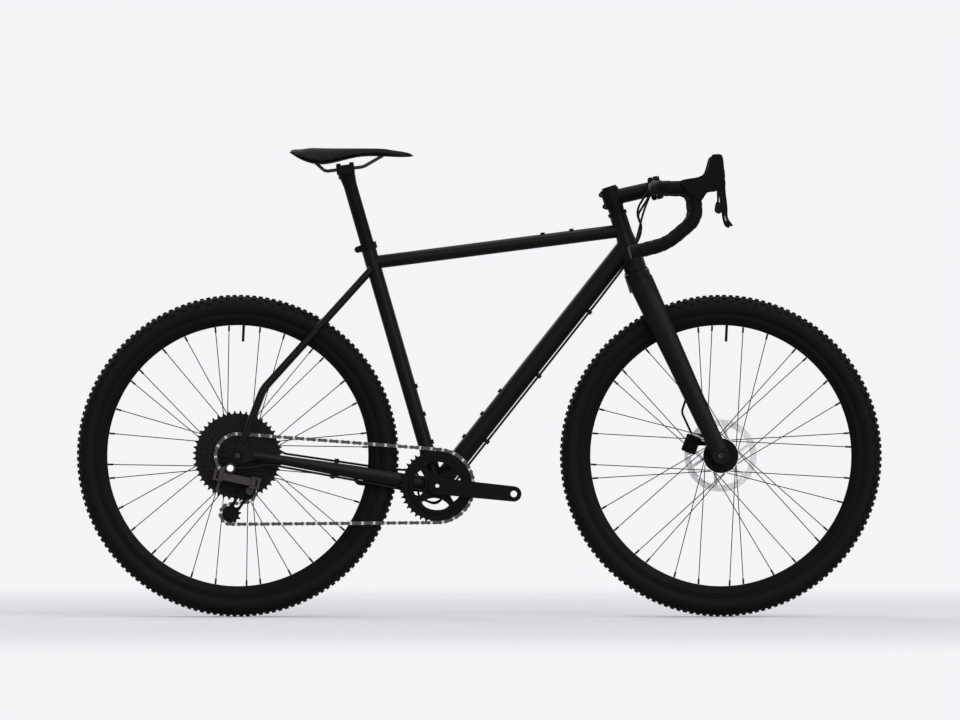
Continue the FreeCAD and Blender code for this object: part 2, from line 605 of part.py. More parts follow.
# Seatstays: straight to a bend above the dropout
stay_top = on_seat(size("seatstay_top_distance")) - X_DIR * size("seatstay_top_setback")
SEATSTAY_POINTS = (
    Vector(stay_top.x, -size("seatstay_top_spread"), stay_top.z),
    REAR_AXLE + Vector(size("seatstay_bend_back"), -size("seatstay_bend_spread"), size("seatstay_bend_rise")),
    REAR_AXLE + Vector(size("seatstay_end_ahead"), -size("seatstay_end_spread"), size("seatstay_end_rise")),
)
seatstay_pipe = pipe("seatstay_pipe", S.seatstay_radius, SEATSTAY_POINTS, (S.seatstay_bend_radius,))
right_seatstay = cut("right_seatstay", seatstay_pipe, seat_blank)
left_seatstay = mirrored("left_seatstay", right_seatstay)
run = SEATSTAY_POINTS[1] - SEATSTAY_POINTS[0]
bridge_share = (size("seatstay_bridge_height") + BB.z - SEATSTAY_POINTS[0].z) / run.z
bridge_centre = SEATSTAY_POINTS[0] + run * bridge_share
seat_bridge_rod = across_rod(
    "seat_bridge_rod", S.seatstay_bridge_radius, bridge_centre, bridge_centre.y, -bridge_centre.y
)
seat_bridge = cut("seat_bridge", seat_bridge_rod, right_seatstay, left_seatstay)

# Dropouts: shares of the dropout's size, ahead of and above the axle
DROPOUT_SHARES = (
    (-0.34, 0.10), (-0.22, 0.36), (0.06, 0.82), (0.50, 0.86), (0.62, 0.42), (0.98, 0.26), (1.0, -0.22),
    (0.52, -0.34), (0.16, -0.44), (-0.26, -0.30),
)
AXLE_HOLE = S.thru_axle_radius + S.running_gap
REAR_HALF = S.rear_dropout_width / 2
dropout_outline = closed_lines([flat(S.dropout_size * a, S.dropout_size * b) for a, b in DROPOUT_SHARES])
right_plate = plate(
    "right_dropout_plate", [dropout_outline, [circle(Vector(), AXLE_HOLE)]],
    S.dropout_thickness, REAR_AXLE, -REAR_HALF
)
right_dropout = cut("right_dropout", right_plate, right_seatstay, right_chainstay)
left_dropout = mirrored("left_dropout", right_dropout)
node("chainstays", right_chainstay, left_chainstay, stay_bridge)
node("seatstays", right_seatstay, left_seatstay, seat_bridge)
node("rear_dropouts", right_dropout, left_dropout)

# Derailleur hanger on the outer face of the drive-side dropout
HANGER_FACE = REAR_HALF + S.dropout_thickness
hanger_eye = flat(-S.hanger_back, -S.hanger_down)
hanger_outline = tangent_link(Vector(), S.hanger_root_radius, hanger_eye, S.hanger_eye_radius)
hanger_holes = [[circle(Vector(), AXLE_HOLE)], [circle(hanger_eye, S.hanger_bolt_radius)]]
node(
    "derailleur_hanger",
    plate("hanger_plate", [hanger_outline] + hanger_holes, S.hanger_thickness, REAR_AXLE, -HANGER_FACE),
)
HANGER_EYE = REAR_AXLE + Vector(-size("hanger_back"), 0, -size("hanger_down"))


# Thru-axles: a hollow shaft with a head on the left
def thru_axle(label, centre, left_face, right_end):
    shaft = across_rod(label + "_shaft", S.thru_axle_radius, centre, right_end, left_face)
    head = across_rod(label + "_head", S.axle_head_radius, centre, left_face, left_face + S.axle_head_width)
    hole = across_rod(
        label + "_hole", S.axle_bore_radius, centre, right_end - S.cut_overrun,
        left_face + S.axle_head_width + S.cut_overrun,
    )
    node(label, cut(label + "_body", fuse(label + "_blank", shaft, head), hole))


thru_axle("rear_thru_axle", REAR_AXLE, HANGER_FACE, -(HANGER_FACE + S.hanger_thickness))

# Seat collar with its rear ear
COLLAR_TOP = SEAT_TOP + SEAT_DIR * size("collar_drop")
COLLAR_LOW = COLLAR_TOP - SEAT_DIR * size("collar_height")
SEAT_BACK = SEAT_DIR.cross(Y_DIR)
collar_ring = rod("collar_ring", S.seat_tube_radius + S.collar_wall, COLLAR_LOW, COLLAR_TOP, S.collar_height)
EAR_REACH = S.seat_tube_radius + S.collar_ear_radius
EAR_CENTRE = COLLAR_LOW + SEAT_DIR * (size("collar_height") / 2) + SEAT_BACK * float(EAR_REACH)
ear_rod = across_rod(
    "collar_ear", S.collar_ear_radius, EAR_CENTRE, -S.collar_ear_width / 2, S.collar_ear_width / 2,
)
ear_neck = block(
    "collar_neck", EAR_REACH, S.collar_ear_width, S.collar_ear_radius * 2,
    EAR_CENTRE - SEAT_BACK * (float(EAR_REACH) / 2), SEAT_DIR, SEAT_BACK,
)
collar_slot = block(
    "collar_slot", S.seat_tube_radius * 2, S.collar_slot_width, S.collar_height * 2,
    EAR_CENTRE, SEAT_DIR, SEAT_BACK
)
collar_hole = across_rod(
    "collar_bolt_hole", S.collar_bolt_radius, EAR_CENTRE, -S.collar_ear_width, S.collar_ear_width,
)
seat_inside = rod(
    "collar_bore", POST_BORE, COLLAR_LOW - SEAT_DIR * size("cut_overrun"),
    COLLAR_TOP + SEAT_DIR * size("cut_overrun"),
)
collar = cut(
    "seat_clamp_body", fuse("collar_blank", collar_ring, ear_rod, ear_neck), seat_blank, seat_inside,
    collar_slot,
    collar_hole,
)
seat_clamp_bolt = across_rod(
    "seat_clamp_bolt", S.collar_bolt_radius, EAR_CENTRE, -S.collar_ear_width / 2, S.collar_ear_width / 2,
)
node("seat_clamp", collar, seat_clamp_bolt)

# Bottom bracket cups round the spindle
SPINDLE_BORE = S.spindle_radius + S.running_gap
left_cup_flange = across_rod("left_cup_flange", S.bb_cup_radius, BB, SHELL_HALF, cup_end)
left_cup_sleeve = across_rod("left_cup_sleeve", S.bb_bore_radius, BB, SHELL_HALF / 2, SHELL_HALF)
cup_hole = across_rod("cup_hole", SPINDLE_BORE, BB, 0, cup_end + S.cut_overrun)
left_cup = cut("left_cup", fuse("left_cup_blank", left_cup_flange, left_cup_sleeve), cup_hole)
right_cup = mirrored("right_cup", left_cup)

# Headset cups, pressed into the head tube, with room for the steerer to turn
STEERER_ROOM = S.steerer_radius + S.body_gap
BASE_ROOM = S.steerer_base_radius + S.body_gap
upper_seat = S.head_upper_radius - S.head_wall
lower_seat = S.head_lower_radius - S.head_wall
skirt = S.cup_skirt_depth
upper_cup = turned(
    "upper_cup",
    (
        (STEERER_ROOM, 0), (upper_seat, 0), (upper_seat, skirt), (S.upper_cup_radius, skirt),
        (S.upper_cup_radius, skirt + S.upper_cup_height), (STEERER_ROOM, skirt + S.upper_cup_height),
    ),
    on_steer(HEAD_TOP - size("cup_skirt_depth")), STEER_DIR,
)
lower_cup = turned(
    "lower_cup",
    (
        (BASE_ROOM, 0), (S.lower_cup_radius, 0), (S.lower_cup_radius, S.lower_cup_height),
        (lower_seat, S.lower_cup_height), (lower_seat, S.lower_cup_height + skirt),
        (BASE_ROOM, S.lower_cup_height + skirt),
    ),
    on_steer(HEAD_LOW - size("lower_cup_height")), STEER_DIR,
)
node("bearing_cups", left_cup, right_cup, upper_cup, lower_cup)

# Fork: steerer, crown and two straight legs
CROWN_TOP = on_steer(S.fork_length)
crown_low = on_steer(S.fork_length - S.crown_height)
LEG_DIR = (CROWN_TOP - FRONT_AXLE).normalize()
LEG_AHEAD = Y_DIR.cross(LEG_DIR)
LEG_LENGTH = (CROWN_TOP - FRONT_AXLE).Length
LEG_TOP = FRONT_AXLE + LEG_DIR * (LEG_LENGTH - size("crown_drop"))
SHOULDER_SHARE = 0.86
MIDDLE_SHARE = 0.56
LOW_SHARE = 0.26


def leg_point(share, spread):
    middle = FRONT_AXLE + (LEG_TOP - FRONT_AXLE) * share
    return Vector(middle.x, -float(spread), middle.z)


leg_places = (
    (1, S.leg_top_spread, S.leg_top_depth, S.leg_top_width),
    (SHOULDER_SHARE, S.leg_shoulder_spread, S.leg_shoulder_depth, S.leg_shoulder_width),
    (MIDDLE_SHARE, S.leg_middle_spread, S.leg_middle_depth, S.leg_middle_width),
    (LOW_SHARE, S.leg_low_spread, S.leg_low_depth, S.leg_low_width),
    (0, S.leg_tip_spread, S.leg_tip_depth, S.leg_tip_width),
)
leg_ovals = []
for number, (share, spread, deep, wide) in enumerate(leg_places):
    leg_ovals.append(oval("leg_oval%d" % number, deep, wide, leg_point(share, spread), LEG_DIR, LEG_AHEAD))
right_leg = loft("right_leg", leg_ovals)
left_leg = mirrored("left_leg", right_leg)
TIP_HALF = S.front_dropout_width / 2
tip_outer = S.leg_tip_spread + S.leg_tip_width
right_tip = across_rod("right_tip", S.leg_tip_depth, FRONT_AXLE, -tip_outer, -TIP_HALF)
left_tip = across_rod("left_tip", S.leg_tip_depth, FRONT_AXLE, TIP_HALF, tip_outer)
crown = cone("crown", S.crown_radius, S.crown_radius, crown_low, CROWN_TOP)
steerer_top = CROWN_TOP + STEER_DIR * size("steerer_length")
steerer = rod("steerer", S.steerer_radius, crown_low, steerer_top)
taper_foot = cone(
    "steerer_taper", S.steerer_base_radius, S.steerer_radius, CROWN_TOP,
    CROWN_TOP + STEER_DIR * size("steerer_taper_length"),
)
arch_radius = as_quantity(WHEEL_RADIUS) + S.fork_arch_gap
arch = across_rod("fork_arch", arch_radius, FRONT_AXLE, -S.fork_arch_width / 2, S.fork_arch_width / 2)
tip_clear = across_rod("tip_clear", S.leg_tip_depth * 2, FRONT_AXLE, -TIP_HALF, TIP_HALF)
front_hole = across_rod(
    "front_axle_hole", AXLE_HOLE, FRONT_AXLE, -tip_outer - S.cut_overrun, tip_outer + S.cut_overrun,
)
steerer_hole = rod(
    "steerer_hole", S.steerer_bore_radius, crown_low - STEER_DIR * size("crown_height"),
    steerer_top + STEER_DIR * size("cut_overrun"),
)
fork_blank = fuse("fork_blank", right_leg, left_leg, right_tip, left_tip, crown, steerer, taper_foot)
head_room = across_rod(
    "axle_head_room", S.axle_head_radius + S.body_gap, FRONT_AXLE,
    tip_outer, tip_outer + S.axle_head_width * 2
)
fork_body = cut("fork_body", fork_blank, arch, tip_clear, front_hole, steerer_hole, head_room)
thru_axle("front_thru_axle", FRONT_AXLE, tip_outer, -tip_outer)

# Spacers, top cap and stem
SPACER_LOW = HEAD_TOP + size("upper_cup_height") + size("body_gap")
STEM_LOW = SPACER_LOW + size("spacer_height")
STEM_TOP = STEM_LOW + size("stem_clamp_height")
spacer_rod = rod("spacer_rod", S.spacer_radius, on_steer(SPACER_LOW), on_steer(STEM_LOW), S.spacer_height)
cap_rod = rod(
    "cap_rod", S.top_cap_radius, on_steer(STEM_TOP), on_steer(STEM_TOP + size("top_cap_height")),
    S.top_cap_height,
)
cap_hole = rod(
    "cap_hole", S.cap_bolt_radius, on_steer(STEM_TOP - size("cut_overrun")),
    on_steer(STEM_TOP + size("top_cap_height") + size("cut_overrun")),
)
steerer_blank = rod("steerer_blank", S.steerer_radius, crown_low, steerer_top)
spacer_ring = cut("spacer_ring", spacer_rod, steerer_blank)
top_cap = cut("top_cap", cap_rod, cap_hole)
cap_bolt = rod(
    "cap_bolt", S.cap_bolt_radius, on_steer(STEM_TOP - size("cut_overrun")),
    on_steer(STEM_TOP + size("top_cap_height")),
)
node("headset_stack", spacer_ring, top_cap)

STEM_MIDDLE = on_steer((STEM_LOW + STEM_TOP) / 2)
BAR = STEM_MIDDLE + Vector(size("stem_reach"), 0, size("stem_rise"))
STEM_AXIS = (BAR - STEM_MIDDLE).normalize()
STEM_UP = Y_DIR.cross(STEM_AXIS) * -1
stem_clamp = rod(
    "stem_clamp", S.stem_clamp_radius, on_steer(STEM_LOW), on_steer(STEM_TOP), S.stem_clamp_height,
)
stem_neck = cone("stem_neck", S.stem_body_radius, S.stem_neck_radius, STEM_MIDDLE, BAR)
BAR_CLAMP_HALF = S.bar_clamp_width / 2
bar_ring = across_rod("bar_clamp_ring", S.bar_clamp_radius, BAR, -BAR_CLAMP_HALF, BAR_CLAMP_HALF)
bar_hole = across_rod("bar_clamp_hole", S.bar_clamp_bar_radius, BAR, -S.bar_clamp_width, S.bar_clamp_width)
pinch_rods = []
pinch_holes = []
pinch_bolts = []
for number, side in enumerate((-1, 1)):
    spot = STEM_MIDDLE + STEER_DIR * (side * size("pinch_boss_spacing") / 2) - STEER_AHEAD * size(
        "pinch_boss_offset"
    )
    half = S.pinch_boss_width / 2
    pinch_rods.append(across_rod("pinch_boss%d" % number, S.pinch_boss_radius, spot, -half, half))
    pinch_holes.append(
        across_rod(
            "pinch_hole%d" % number, S.pinch_bolt_radius, spot, -S.pinch_boss_width, S.pinch_boss_width,
        )
    )
    pinch_bolts.append(across_rod("pinch_bolt%d" % number, S.pinch_bolt_radius, spot, -half, half))
pinch_block = block(
    "pinch_block", S.pinch_boss_offset, S.pinch_boss_width, S.stem_clamp_height,
    STEM_MIDDLE - STEER_AHEAD * (size("pinch_boss_offset") / 2), STEER_DIR, STEER_AHEAD,
)
pinch_slot = block(
    "pinch_slot", S.pinch_boss_offset * 2, S.stem_slot_width, S.stem_clamp_height * 2,
    STEM_MIDDLE - STEER_AHEAD * size("pinch_boss_offset"), STEER_DIR, STEER_AHEAD,
)


# The faceplate closes the bar clamp at the plane through the bar, square to the stem
def face_spot(up, side, along):
    return BAR + STEM_UP * float(up) + Y_DIR * float(side) + STEM_AXIS * float(along)


front_room = block(
    "front_room", S.bar_clamp_radius * 2, S.bar_clamp_width * 2, S.bar_clamp_radius * 4,
    BAR + STEM_AXIS * float(S.bar_clamp_radius - S.faceplate_gap / 2), STEM_UP, STEM_AXIS,
)
rear_room = block(
    "rear_room", S.bar_clamp_radius * 2, S.bar_clamp_width * 2, S.bar_clamp_radius * 4,
    BAR - STEM_AXIS * float(S.bar_clamp_radius - S.faceplate_gap / 2), STEM_UP, STEM_AXIS,
)
ears = []
face_holes = []
face_bolts = []
face_heads = []
EAR_HALF = S.face_ear_length
for number, (up, side) in enumerate(((1, 1), (1, -1), (-1, 1), (-1, -1))):
    rise = S.face_bolt_rise * up
    spread = S.face_bolt_spread * side
    ears.append(
        rod(
            "face_ear%d" % number, S.face_ear_radius, face_spot(rise, spread, -EAR_HALF),
            face_spot(rise, spread, EAR_HALF),
        )
    )
    bolt_back = face_spot(rise, spread, EAR_HALF - S.face_bolt_length)
    face_holes.append(
        rod(
            "face_hole%d" % number, S.face_bolt_radius, bolt_back,
            face_spot(rise, spread, EAR_HALF + S.cut_overrun),
        )
    )
    shank = rod("face_shank%d" % number, S.face_bolt_radius, bolt_back, face_spot(rise, spread, EAR_HALF))
    head = rod(
        "face_head%d" % number, S.face_head_radius, face_spot(rise, spread, EAR_HALF),
        face_spot(rise, spread, EAR_HALF + S.face_head_height),
    )
    face_bolts.append(fuse("face_bolt%d" % number, shank, head))
    face_heads.append(head)
stem_blank = fuse("stem_blank", stem_clamp, stem_neck, bar_ring, pinch_block, *(pinch_rods + ears))
steer_through = rod(
    "steer_through", S.steerer_radius, on_steer(STEM_LOW - size("cut_overrun")),
    on_steer(STEM_TOP + size("cut_overrun")),
)
node(
    "stem",
    cut(
        "stem_body", stem_blank, steer_through, bar_hole, front_room, pinch_slot,
        *(pinch_holes + face_holes),
    ),
)
face_blank = fuse("face_blank", bar_ring, *ears)
node("stem_faceplate", cut("stem_face_body", face_blank, bar_hole, rear_room, *(face_holes + face_heads)))

# Handlebar: straight top, forward ramp, hook and flared drop, with a bulge at the clamp


def bar_point(ahead, spread, drop):
    return BAR + Vector(float(ahead), -float(spread), -float(drop))


BAR_POINTS = (
    BAR,
    bar_point(0, S.bar_top_spread, 0),
    bar_point(S.bar_ramp_reach, S.bar_corner_spread, S.bar_ramp_drop),
    bar_point(S.bar_hook_reach, S.bar_hook_spread, S.bar_hook_drop),
    bar_point(S.bar_drop_reach, S.bar_drop_spread, S.bar_drop_drop),
    bar_point(-S.bar_end_setback, S.bar_end_spread, S.bar_end_drop),
)
BAR_BENDS = (S.bar_top_bend, S.bar_ramp_bend, S.bar_hook_bend, S.bar_drop_bend)
bar_right = pipe("bar_right", S.bar_grip_radius, BAR_POINTS, BAR_BENDS)
bar_right_bore = pipe("bar_right_bore", S.bar_grip_radius - S.bar_wall, BAR_POINTS, BAR_BENDS)
half_bar = cut("half_bar", bar_right, bar_right_bore)
BULGE_HALF = S.bar_bulge_width / 2
bulge = across_rod("bar_bulge", S.bar_clamp_bar_radius, BAR, -BULGE_HALF, BULGE_HALF)
taper_start = BAR + Y_DIR * -float(BULGE_HALF)
taper_end = taper_start - Y_DIR * size("bar_bulge_taper")
bulge_right = cone("bulge_right", S.bar_clamp_bar_radius, S.bar_grip_radius, taper_start, taper_end)
bulge_left = mirrored("bulge_left", bulge_right)
bulge_all = fuse("bulge_all", bulge, bulge_right, bulge_left)
bulge_bore = across_rod(
    "bulge_bore", S.bar_grip_radius - S.bar_wall, BAR, -S.bar_top_spread / 2, S.bar_top_spread / 2,
)
bulge_shell = cut("bulge_shell", bulge_all, bulge_bore)
node("handlebar", fuse("handlebar_body", half_bar, mirrored("half_bar_left", half_bar), bulge_shell))

# Tape over the grips and plugs in the ends
TAPE_POINTS = (bar_point(0, S.tape_start, 0),) + BAR_POINTS[1:]
tape_full = pipe("tape_full", S.bar_grip_radius + S.tape_thickness, TAPE_POINTS, BAR_BENDS)
tape_right = cut("tape_right", tape_full, bar_right)
END_DIR = (BAR_POINTS[-1] - BAR_POINTS[-2]).normalize()
BAR_END = BAR_POINTS[-1]
plug_flange = rod(
    "plug_flange", S.plug_flange_radius, BAR_END, BAR_END + END_DIR * size("plug_flange_height"),
    S.plug_flange_height,
)
plug_stem = rod(
    "plug_stem", S.bar_grip_radius - S.bar_wall, BAR_END - END_DIR * size("plug_stem_length"), BAR_END,
    S.plug_stem_length,
)
plug_right = fuse("plug_right", plug_flange, plug_stem)
node("bar_tape", tape_right, mirrored("tape_left", tape_right))
node("bar_end_plugs", plug_right, mirrored("plug_left", plug_right))


# Lever bodies with their rubber hoods: shares of the hood's length and height from its rear lower corner
HOOD_SHARES = (
    (0.00, 0.42), (0.22, 0.466), (0.44, 0.515), (0.56, 0.605), (0.62, 0.74), (0.66, 0.88), (0.705, 0.962),
    (0.80, 0.978), (0.905, 0.965), (0.945, 0.89), (0.965, 0.72), (0.99, 0.46), (0.94, 0.32), (0.85, 0.236),
    (0.69, 0.215), (0.54, 0.10), (0.46, 0.0), (0.28, 0.06), (0.08, 0.24),
)


def smooth_outline(points):
    curve = Part.BSplineCurve()
    curve.interpolate(points, True)
    return [curve]


def bar_side(ahead, rise, side=0):
    return BAR + Vector(float(ahead), float(side), float(rise))


hood_corner = bar_side(S.hood_back, -S.hood_low)
hood_points = [flat(S.hood_length * a, S.hood_height * b) for a, b in HOOD_SHARES]
HOOD_LEFT = S.hood_half_width - S.hood_spread
hood_block = plate("hood_block", [smooth_outline(hood_points)], S.hood_half_width * 2, hood_corner, HOOD_LEFT)
doc.recompute()
hood_pad = hood_block.Tip
hood_rims = [
    "Edge%d" % (number + 1)
    for number, edge in enumerate(hood_pad.Shape.Edges)
    if edge.BoundBox.ZLength < size("running_gap")
]
hood_round = hood_block.newObject("PartDesign::Fillet", "hood_round")
hood_round.Base = (hood_pad, hood_rims)
hood_round.setExpression("Radius", S.hood_edge_radius.expr)

PIVOT = bar_side(S.lever_pivot_ahead, S.lever_pivot_rise)
LEVER_MID = -S.hood_spread
LEVER_HALF = S.lever_thickness / 2
slot_width = S.lever_thickness + S.lever_slot_gap * 2
slot_centre = PIVOT + Vector(
    size("lever_slot_depth") - size("lever_slot_back"), float(LEVER_MID), size("lever_slot_rise") - size(
        "lever_slot_depth"
    )
)
lever_slot = block(
    "lever_slot", S.lever_slot_depth * 2, slot_width, S.lever_slot_depth * 2, slot_centre
)
pin_reach = S.hood_half_width - S.hood_edge_radius
lever_pin = across_rod("lever_pin", S.lever_pivot_radius, PIVOT, LEVER_MID - pin_reach, LEVER_MID + pin_reach)
right_hood = fuse("right_hood", cut("hood_open", hood_block, tape_full, lever_slot), lever_pin)
node("lever_hoods", right_hood, mirrored("left_hood", right_hood))

# Brake levers: shares of the lever's length, ahead of and above its pivot
LEVER_SHARES = (
    (-0.060, 0.005), (-0.028, 0.052), (0.045, 0.062), (0.108, 0.030), (0.135, -0.14), (0.155, -0.38),
    (0.180, -0.69), (0.220, -0.87), (0.285, -0.985), (0.235, -0.985), (0.148, -0.87), (0.110, -0.68),
    (0.075, -0.43), (0.030, -0.19), (-0.030, -0.060),
)
lever_points = [flat(S.lever_length * a, S.lever_length * b) for a, b in LEVER_SHARES]
pin_room = S.lever_pivot_radius + S.running_gap
lever_blade = plate(
    "lever_blade", [smooth_outline(lever_points), [circle(Vector(), pin_room)]], S.lever_thickness, PIVOT,
    LEVER_MID + LEVER_HALF,
)
left_lever = mirrored("left_lever", lever_blade)
node("brake_lever_left", left_lever)

# Shift paddle, hung behind the drive-side lever on a fore-and-aft pin
PADDLE_EYE = PIVOT + Vector(-size("paddle_setback"), float(LEVER_MID), -size("paddle_pin_drop"))
paddle_pin = rod(
    "paddle_pin", S.paddle_pin_radius, PADDLE_EYE - X_DIR * (size("paddle_eye_width") / 2),
    PADDLE_EYE + X_DIR * (size("paddle_pin_length") / 2),
)
node("brake_lever_right", fuse("right_lever", lever_blade, paddle_pin))
eye_half = X_DIR * (size("paddle_eye_width") / 2)
paddle_eye = rod(
    "paddle_eye", S.paddle_eye_radius, PADDLE_EYE - eye_half, PADDLE_EYE + eye_half, S.paddle_eye_width,
)
eye_room = S.paddle_pin_radius + S.running_gap
paddle_hole = rod("paddle_hole", eye_room, PADDLE_EYE - eye_half * 2, PADDLE_EYE + eye_half * 2)
PADDLE_SHARES = ((-0.50, 0.10), (0.06, 0.50), (0.42, 0.30), (0.50, -0.36), (0.10, -0.50), (-0.30, -0.42))
paddle_middle = PADDLE_EYE + Vector(size("paddle_ahead"), 0, -size("paddle_drop"))
paddle_points = [flat(S.paddle_width * a, S.paddle_height * b) for a, b in PADDLE_SHARES]
paddle_blade = plate(
    "paddle_blade", [smooth_outline(paddle_points)], S.paddle_thickness, paddle_middle,
    LEVER_MID + S.paddle_thickness / 2,
)
paddle_arm = rod("paddle_arm", S.paddle_arm_radius, PADDLE_EYE, paddle_middle)
paddle_full = fuse("paddle_full", paddle_eye, paddle_arm, paddle_blade)
node("shift_paddle", cut("shift_paddle_body", paddle_full, paddle_hole))

# Seatpost with its cradle, and the saddle clamp
RAIL_RISE_SHARE = 0.12
RAIL_DIR = Vector(1, 0, RAIL_RISE_SHARE).normalize()
RAIL_UP = Y_DIR.cross(RAIL_DIR) * -1
post_top = on_seat(S.seat_tube_length + S.seatpost_reach)
post_low = on_seat(S.seat_tube_length - S.seatpost_insert)
HEAD_CENTRE = Vector(post_top.x - size("rail_shift"), 0, size("rail_height"))


def on_rail(along, side, up):
    return HEAD_CENTRE + RAIL_DIR * float(along) + Y_DIR * float(side) + RAIL_UP * float(up)


RAIL_POINTS = (
    on_rail(-S.rail_back, S.rail_back_spread, S.rail_back_rise),
    on_rail(-S.rail_bend_back, S.rail_spread, 0),
    on_rail(S.rail_bend_ahead, S.rail_spread, 0),
    on_rail(S.rail_front, S.rail_front_spread, S.rail_front_rise),
)
RAIL_BENDS = (S.rail_bend_radius, S.rail_bend_radius * 2)
left_rail_full = pipe("left_rail_full", S.rail_radius, RAIL_POINTS, RAIL_BENDS)
rail_room = pipe("rail_room", S.rail_radius + S.rail_fit_gap, RAIL_POINTS, RAIL_BENDS)
right_rail_room = mirrored("right_rail_room", rail_room)
cradle = block(
    "cradle", S.post_head_length, S.post_head_width, S.post_head_height,
    on_rail(0, 0, -S.post_head_height / 2),
    RAIL_UP, RAIL_DIR,
)
neck_end = on_rail(0, 0, -S.rail_radius)
post_neck = cone(
    "post_neck", S.seatpost_radius, S.post_neck_radius, on_seat(S.seat_tube_length + S.post_neck_start),
    neck_end,
)
post_rod = rod("post_rod", S.seatpost_radius, post_low, on_seat(S.seat_tube_length + S.post_neck_start))
post_bore = rod(
    "post_bore", S.seatpost_radius - S.seatpost_wall, post_low - SEAT_DIR * size("cut_overrun"),
    on_seat(S.seat_tube_length + S.post_neck_start),
)
clamp_plate = block(
    "clamp_plate", S.post_head_length, S.post_head_width, S.clamp_plate_height,
    on_rail(0, 0, S.clamp_plate_height / 2 + S.clamp_plate_gap), RAIL_UP, RAIL_DIR,
)
clamp_holes = []
clamp_bolts = []
for number, side in enumerate((-1, 1)):
    along = S.clamp_bolt_spacing / 2 * side
    head_low = S.clamp_plate_height + S.clamp_plate_gap
    foot = on_rail(along, 0, head_low - S.clamp_bolt_length)
    seat = on_rail(along, 0, head_low)
    shank = rod("clamp_shank%d" % number, S.clamp_bolt_radius, foot, seat, S.clamp_bolt_length)
    head = rod(
        "clamp_head%d" % number, S.clamp_head_radius, seat,
        on_rail(along, 0, head_low + S.clamp_head_height),
    )
    clamp_holes.append(shank)
    clamp_bolts.append(fuse("clamp_bolt%d" % number, shank, head))
post_blank = fuse("post_blank", post_rod, post_neck, cradle)
node("seatpost", cut("seatpost_body", post_blank, post_bore, rail_room, right_rail_room, *clamp_holes))
clamp_upper = cut("clamp_upper", clamp_plate, rail_room, right_rail_room, *clamp_holes)
node("saddle_clamp", clamp_upper, *clamp_bolts)

# Saddle: shares of its length, half width and depth at each station from the tail
SADDLE_SHARES = (
    (0.00, 0.52, -0.02, 0.18), (0.07, 0.90, 0.03, 0.52), (0.22, 1.00, 0.00, 0.90), (0.40, 0.70, -0.02, 0.72),
    (0.58, 0.39, -0.02, 0.42), (0.80, 0.27, -0.04, 0.42), (0.95, 0.21, -0.17, 0.44),
    (1.00, 0.11, -0.30, 0.40),
)
SHELL_SHARE = 0.93


def saddle_station(along, half, top, low):
    x = size("saddle_length") * along - size("saddle_tail_back")
    wide = size("saddle_half_width") * half
    high = size("saddle_height") + size("saddle_depth") * top
    base = size("saddle_height") - size("saddle_depth") * low
    return x, wide, high, base


def crowned_section(x, wide, high, base):
    left = Vector(x, wide, base)
    right = Vector(x, -wide, base)
    edges = [Part.makeLine(left, right), Part.Arc(right, Vector(x, 0, high), left).toShape()]
    return Part.Wire(edges)


def box_section(x, half, top, low):
    corners = [Vector(x, half, top), Vector(x, -half, top), Vector(x, -half, low), Vector(x, half, low)]
    return Part.makePolygon(corners + corners[:1])


def shell_section(x, wide, high, base):
    return box_section(x, wide * SHELL_SHARE, base, base - size("saddle_shell_thickness"))


def trim_section(x, wide, high, base):
    return box_section(x, wide * SHELL_SHARE, high, base - size("saddle_shell_thickness"))


stations = [saddle_station(*shares) for shares in SADDLE_SHARES]


def lofted_feature(name, section):
    wires = []
    for number, station in enumerate(stations):
        wire = doc.addObject("Part::Feature", "%s_section%d" % (name, number))
        wire.Shape = section(*station)
        wires.append(wire)
    return loft(name, wires)


saddle_shell = lofted_feature("saddle_shell_loft", shell_section)
saddle_cover = cut("saddle_cover_body", lofted_feature("saddle_cover_loft", crowned_section), saddle_shell)
node("saddle_shell", saddle_shell)
node("saddle_cover", saddle_cover)
left_rail = cut("left_rail", left_rail_full, lofted_feature("saddle_trim", trim_section), saddle_shell)
node("saddle_rails", left_rail, mirrored("right_rail", left_rail))


# Wheels: tyre with moulded tread
CASING = S.casing_section_radius
SECTION_CENTRE = WHEEL_RADIUS - size("tread_height") - float(CASING)
CELL = 360 / TREAD_CELLS
KNOB_SHARE = 0.31
# Each knob: its edges round the section in degrees from the crown, its place in the cell, and its height
KNOBS = (
    (-17, 3, -0.25, "tread_height"), (-3, 17, 0.25, "tread_height"),
    (27, 44, -0.25, "shoulder_tread_height"), (-44, -27, 0.25, "shoulder_tread_height"),
    (49, 64, 0.25, "shoulder_tread_height"), (-64, -49, -0.25, "shoulder_tread_height"),
)


def section_point(radius, degrees):
    turn = math.radians(degrees)
    return Vector(SECTION_CENTRE + radius * math.cos(turn), radius * math.sin(turn), 0)


def sector(face, degrees, start):
    solid = face.revolve(Vector(), Y_DIR, degrees)
    solid.rotate(Vector(), Y_DIR, start)
    return solid


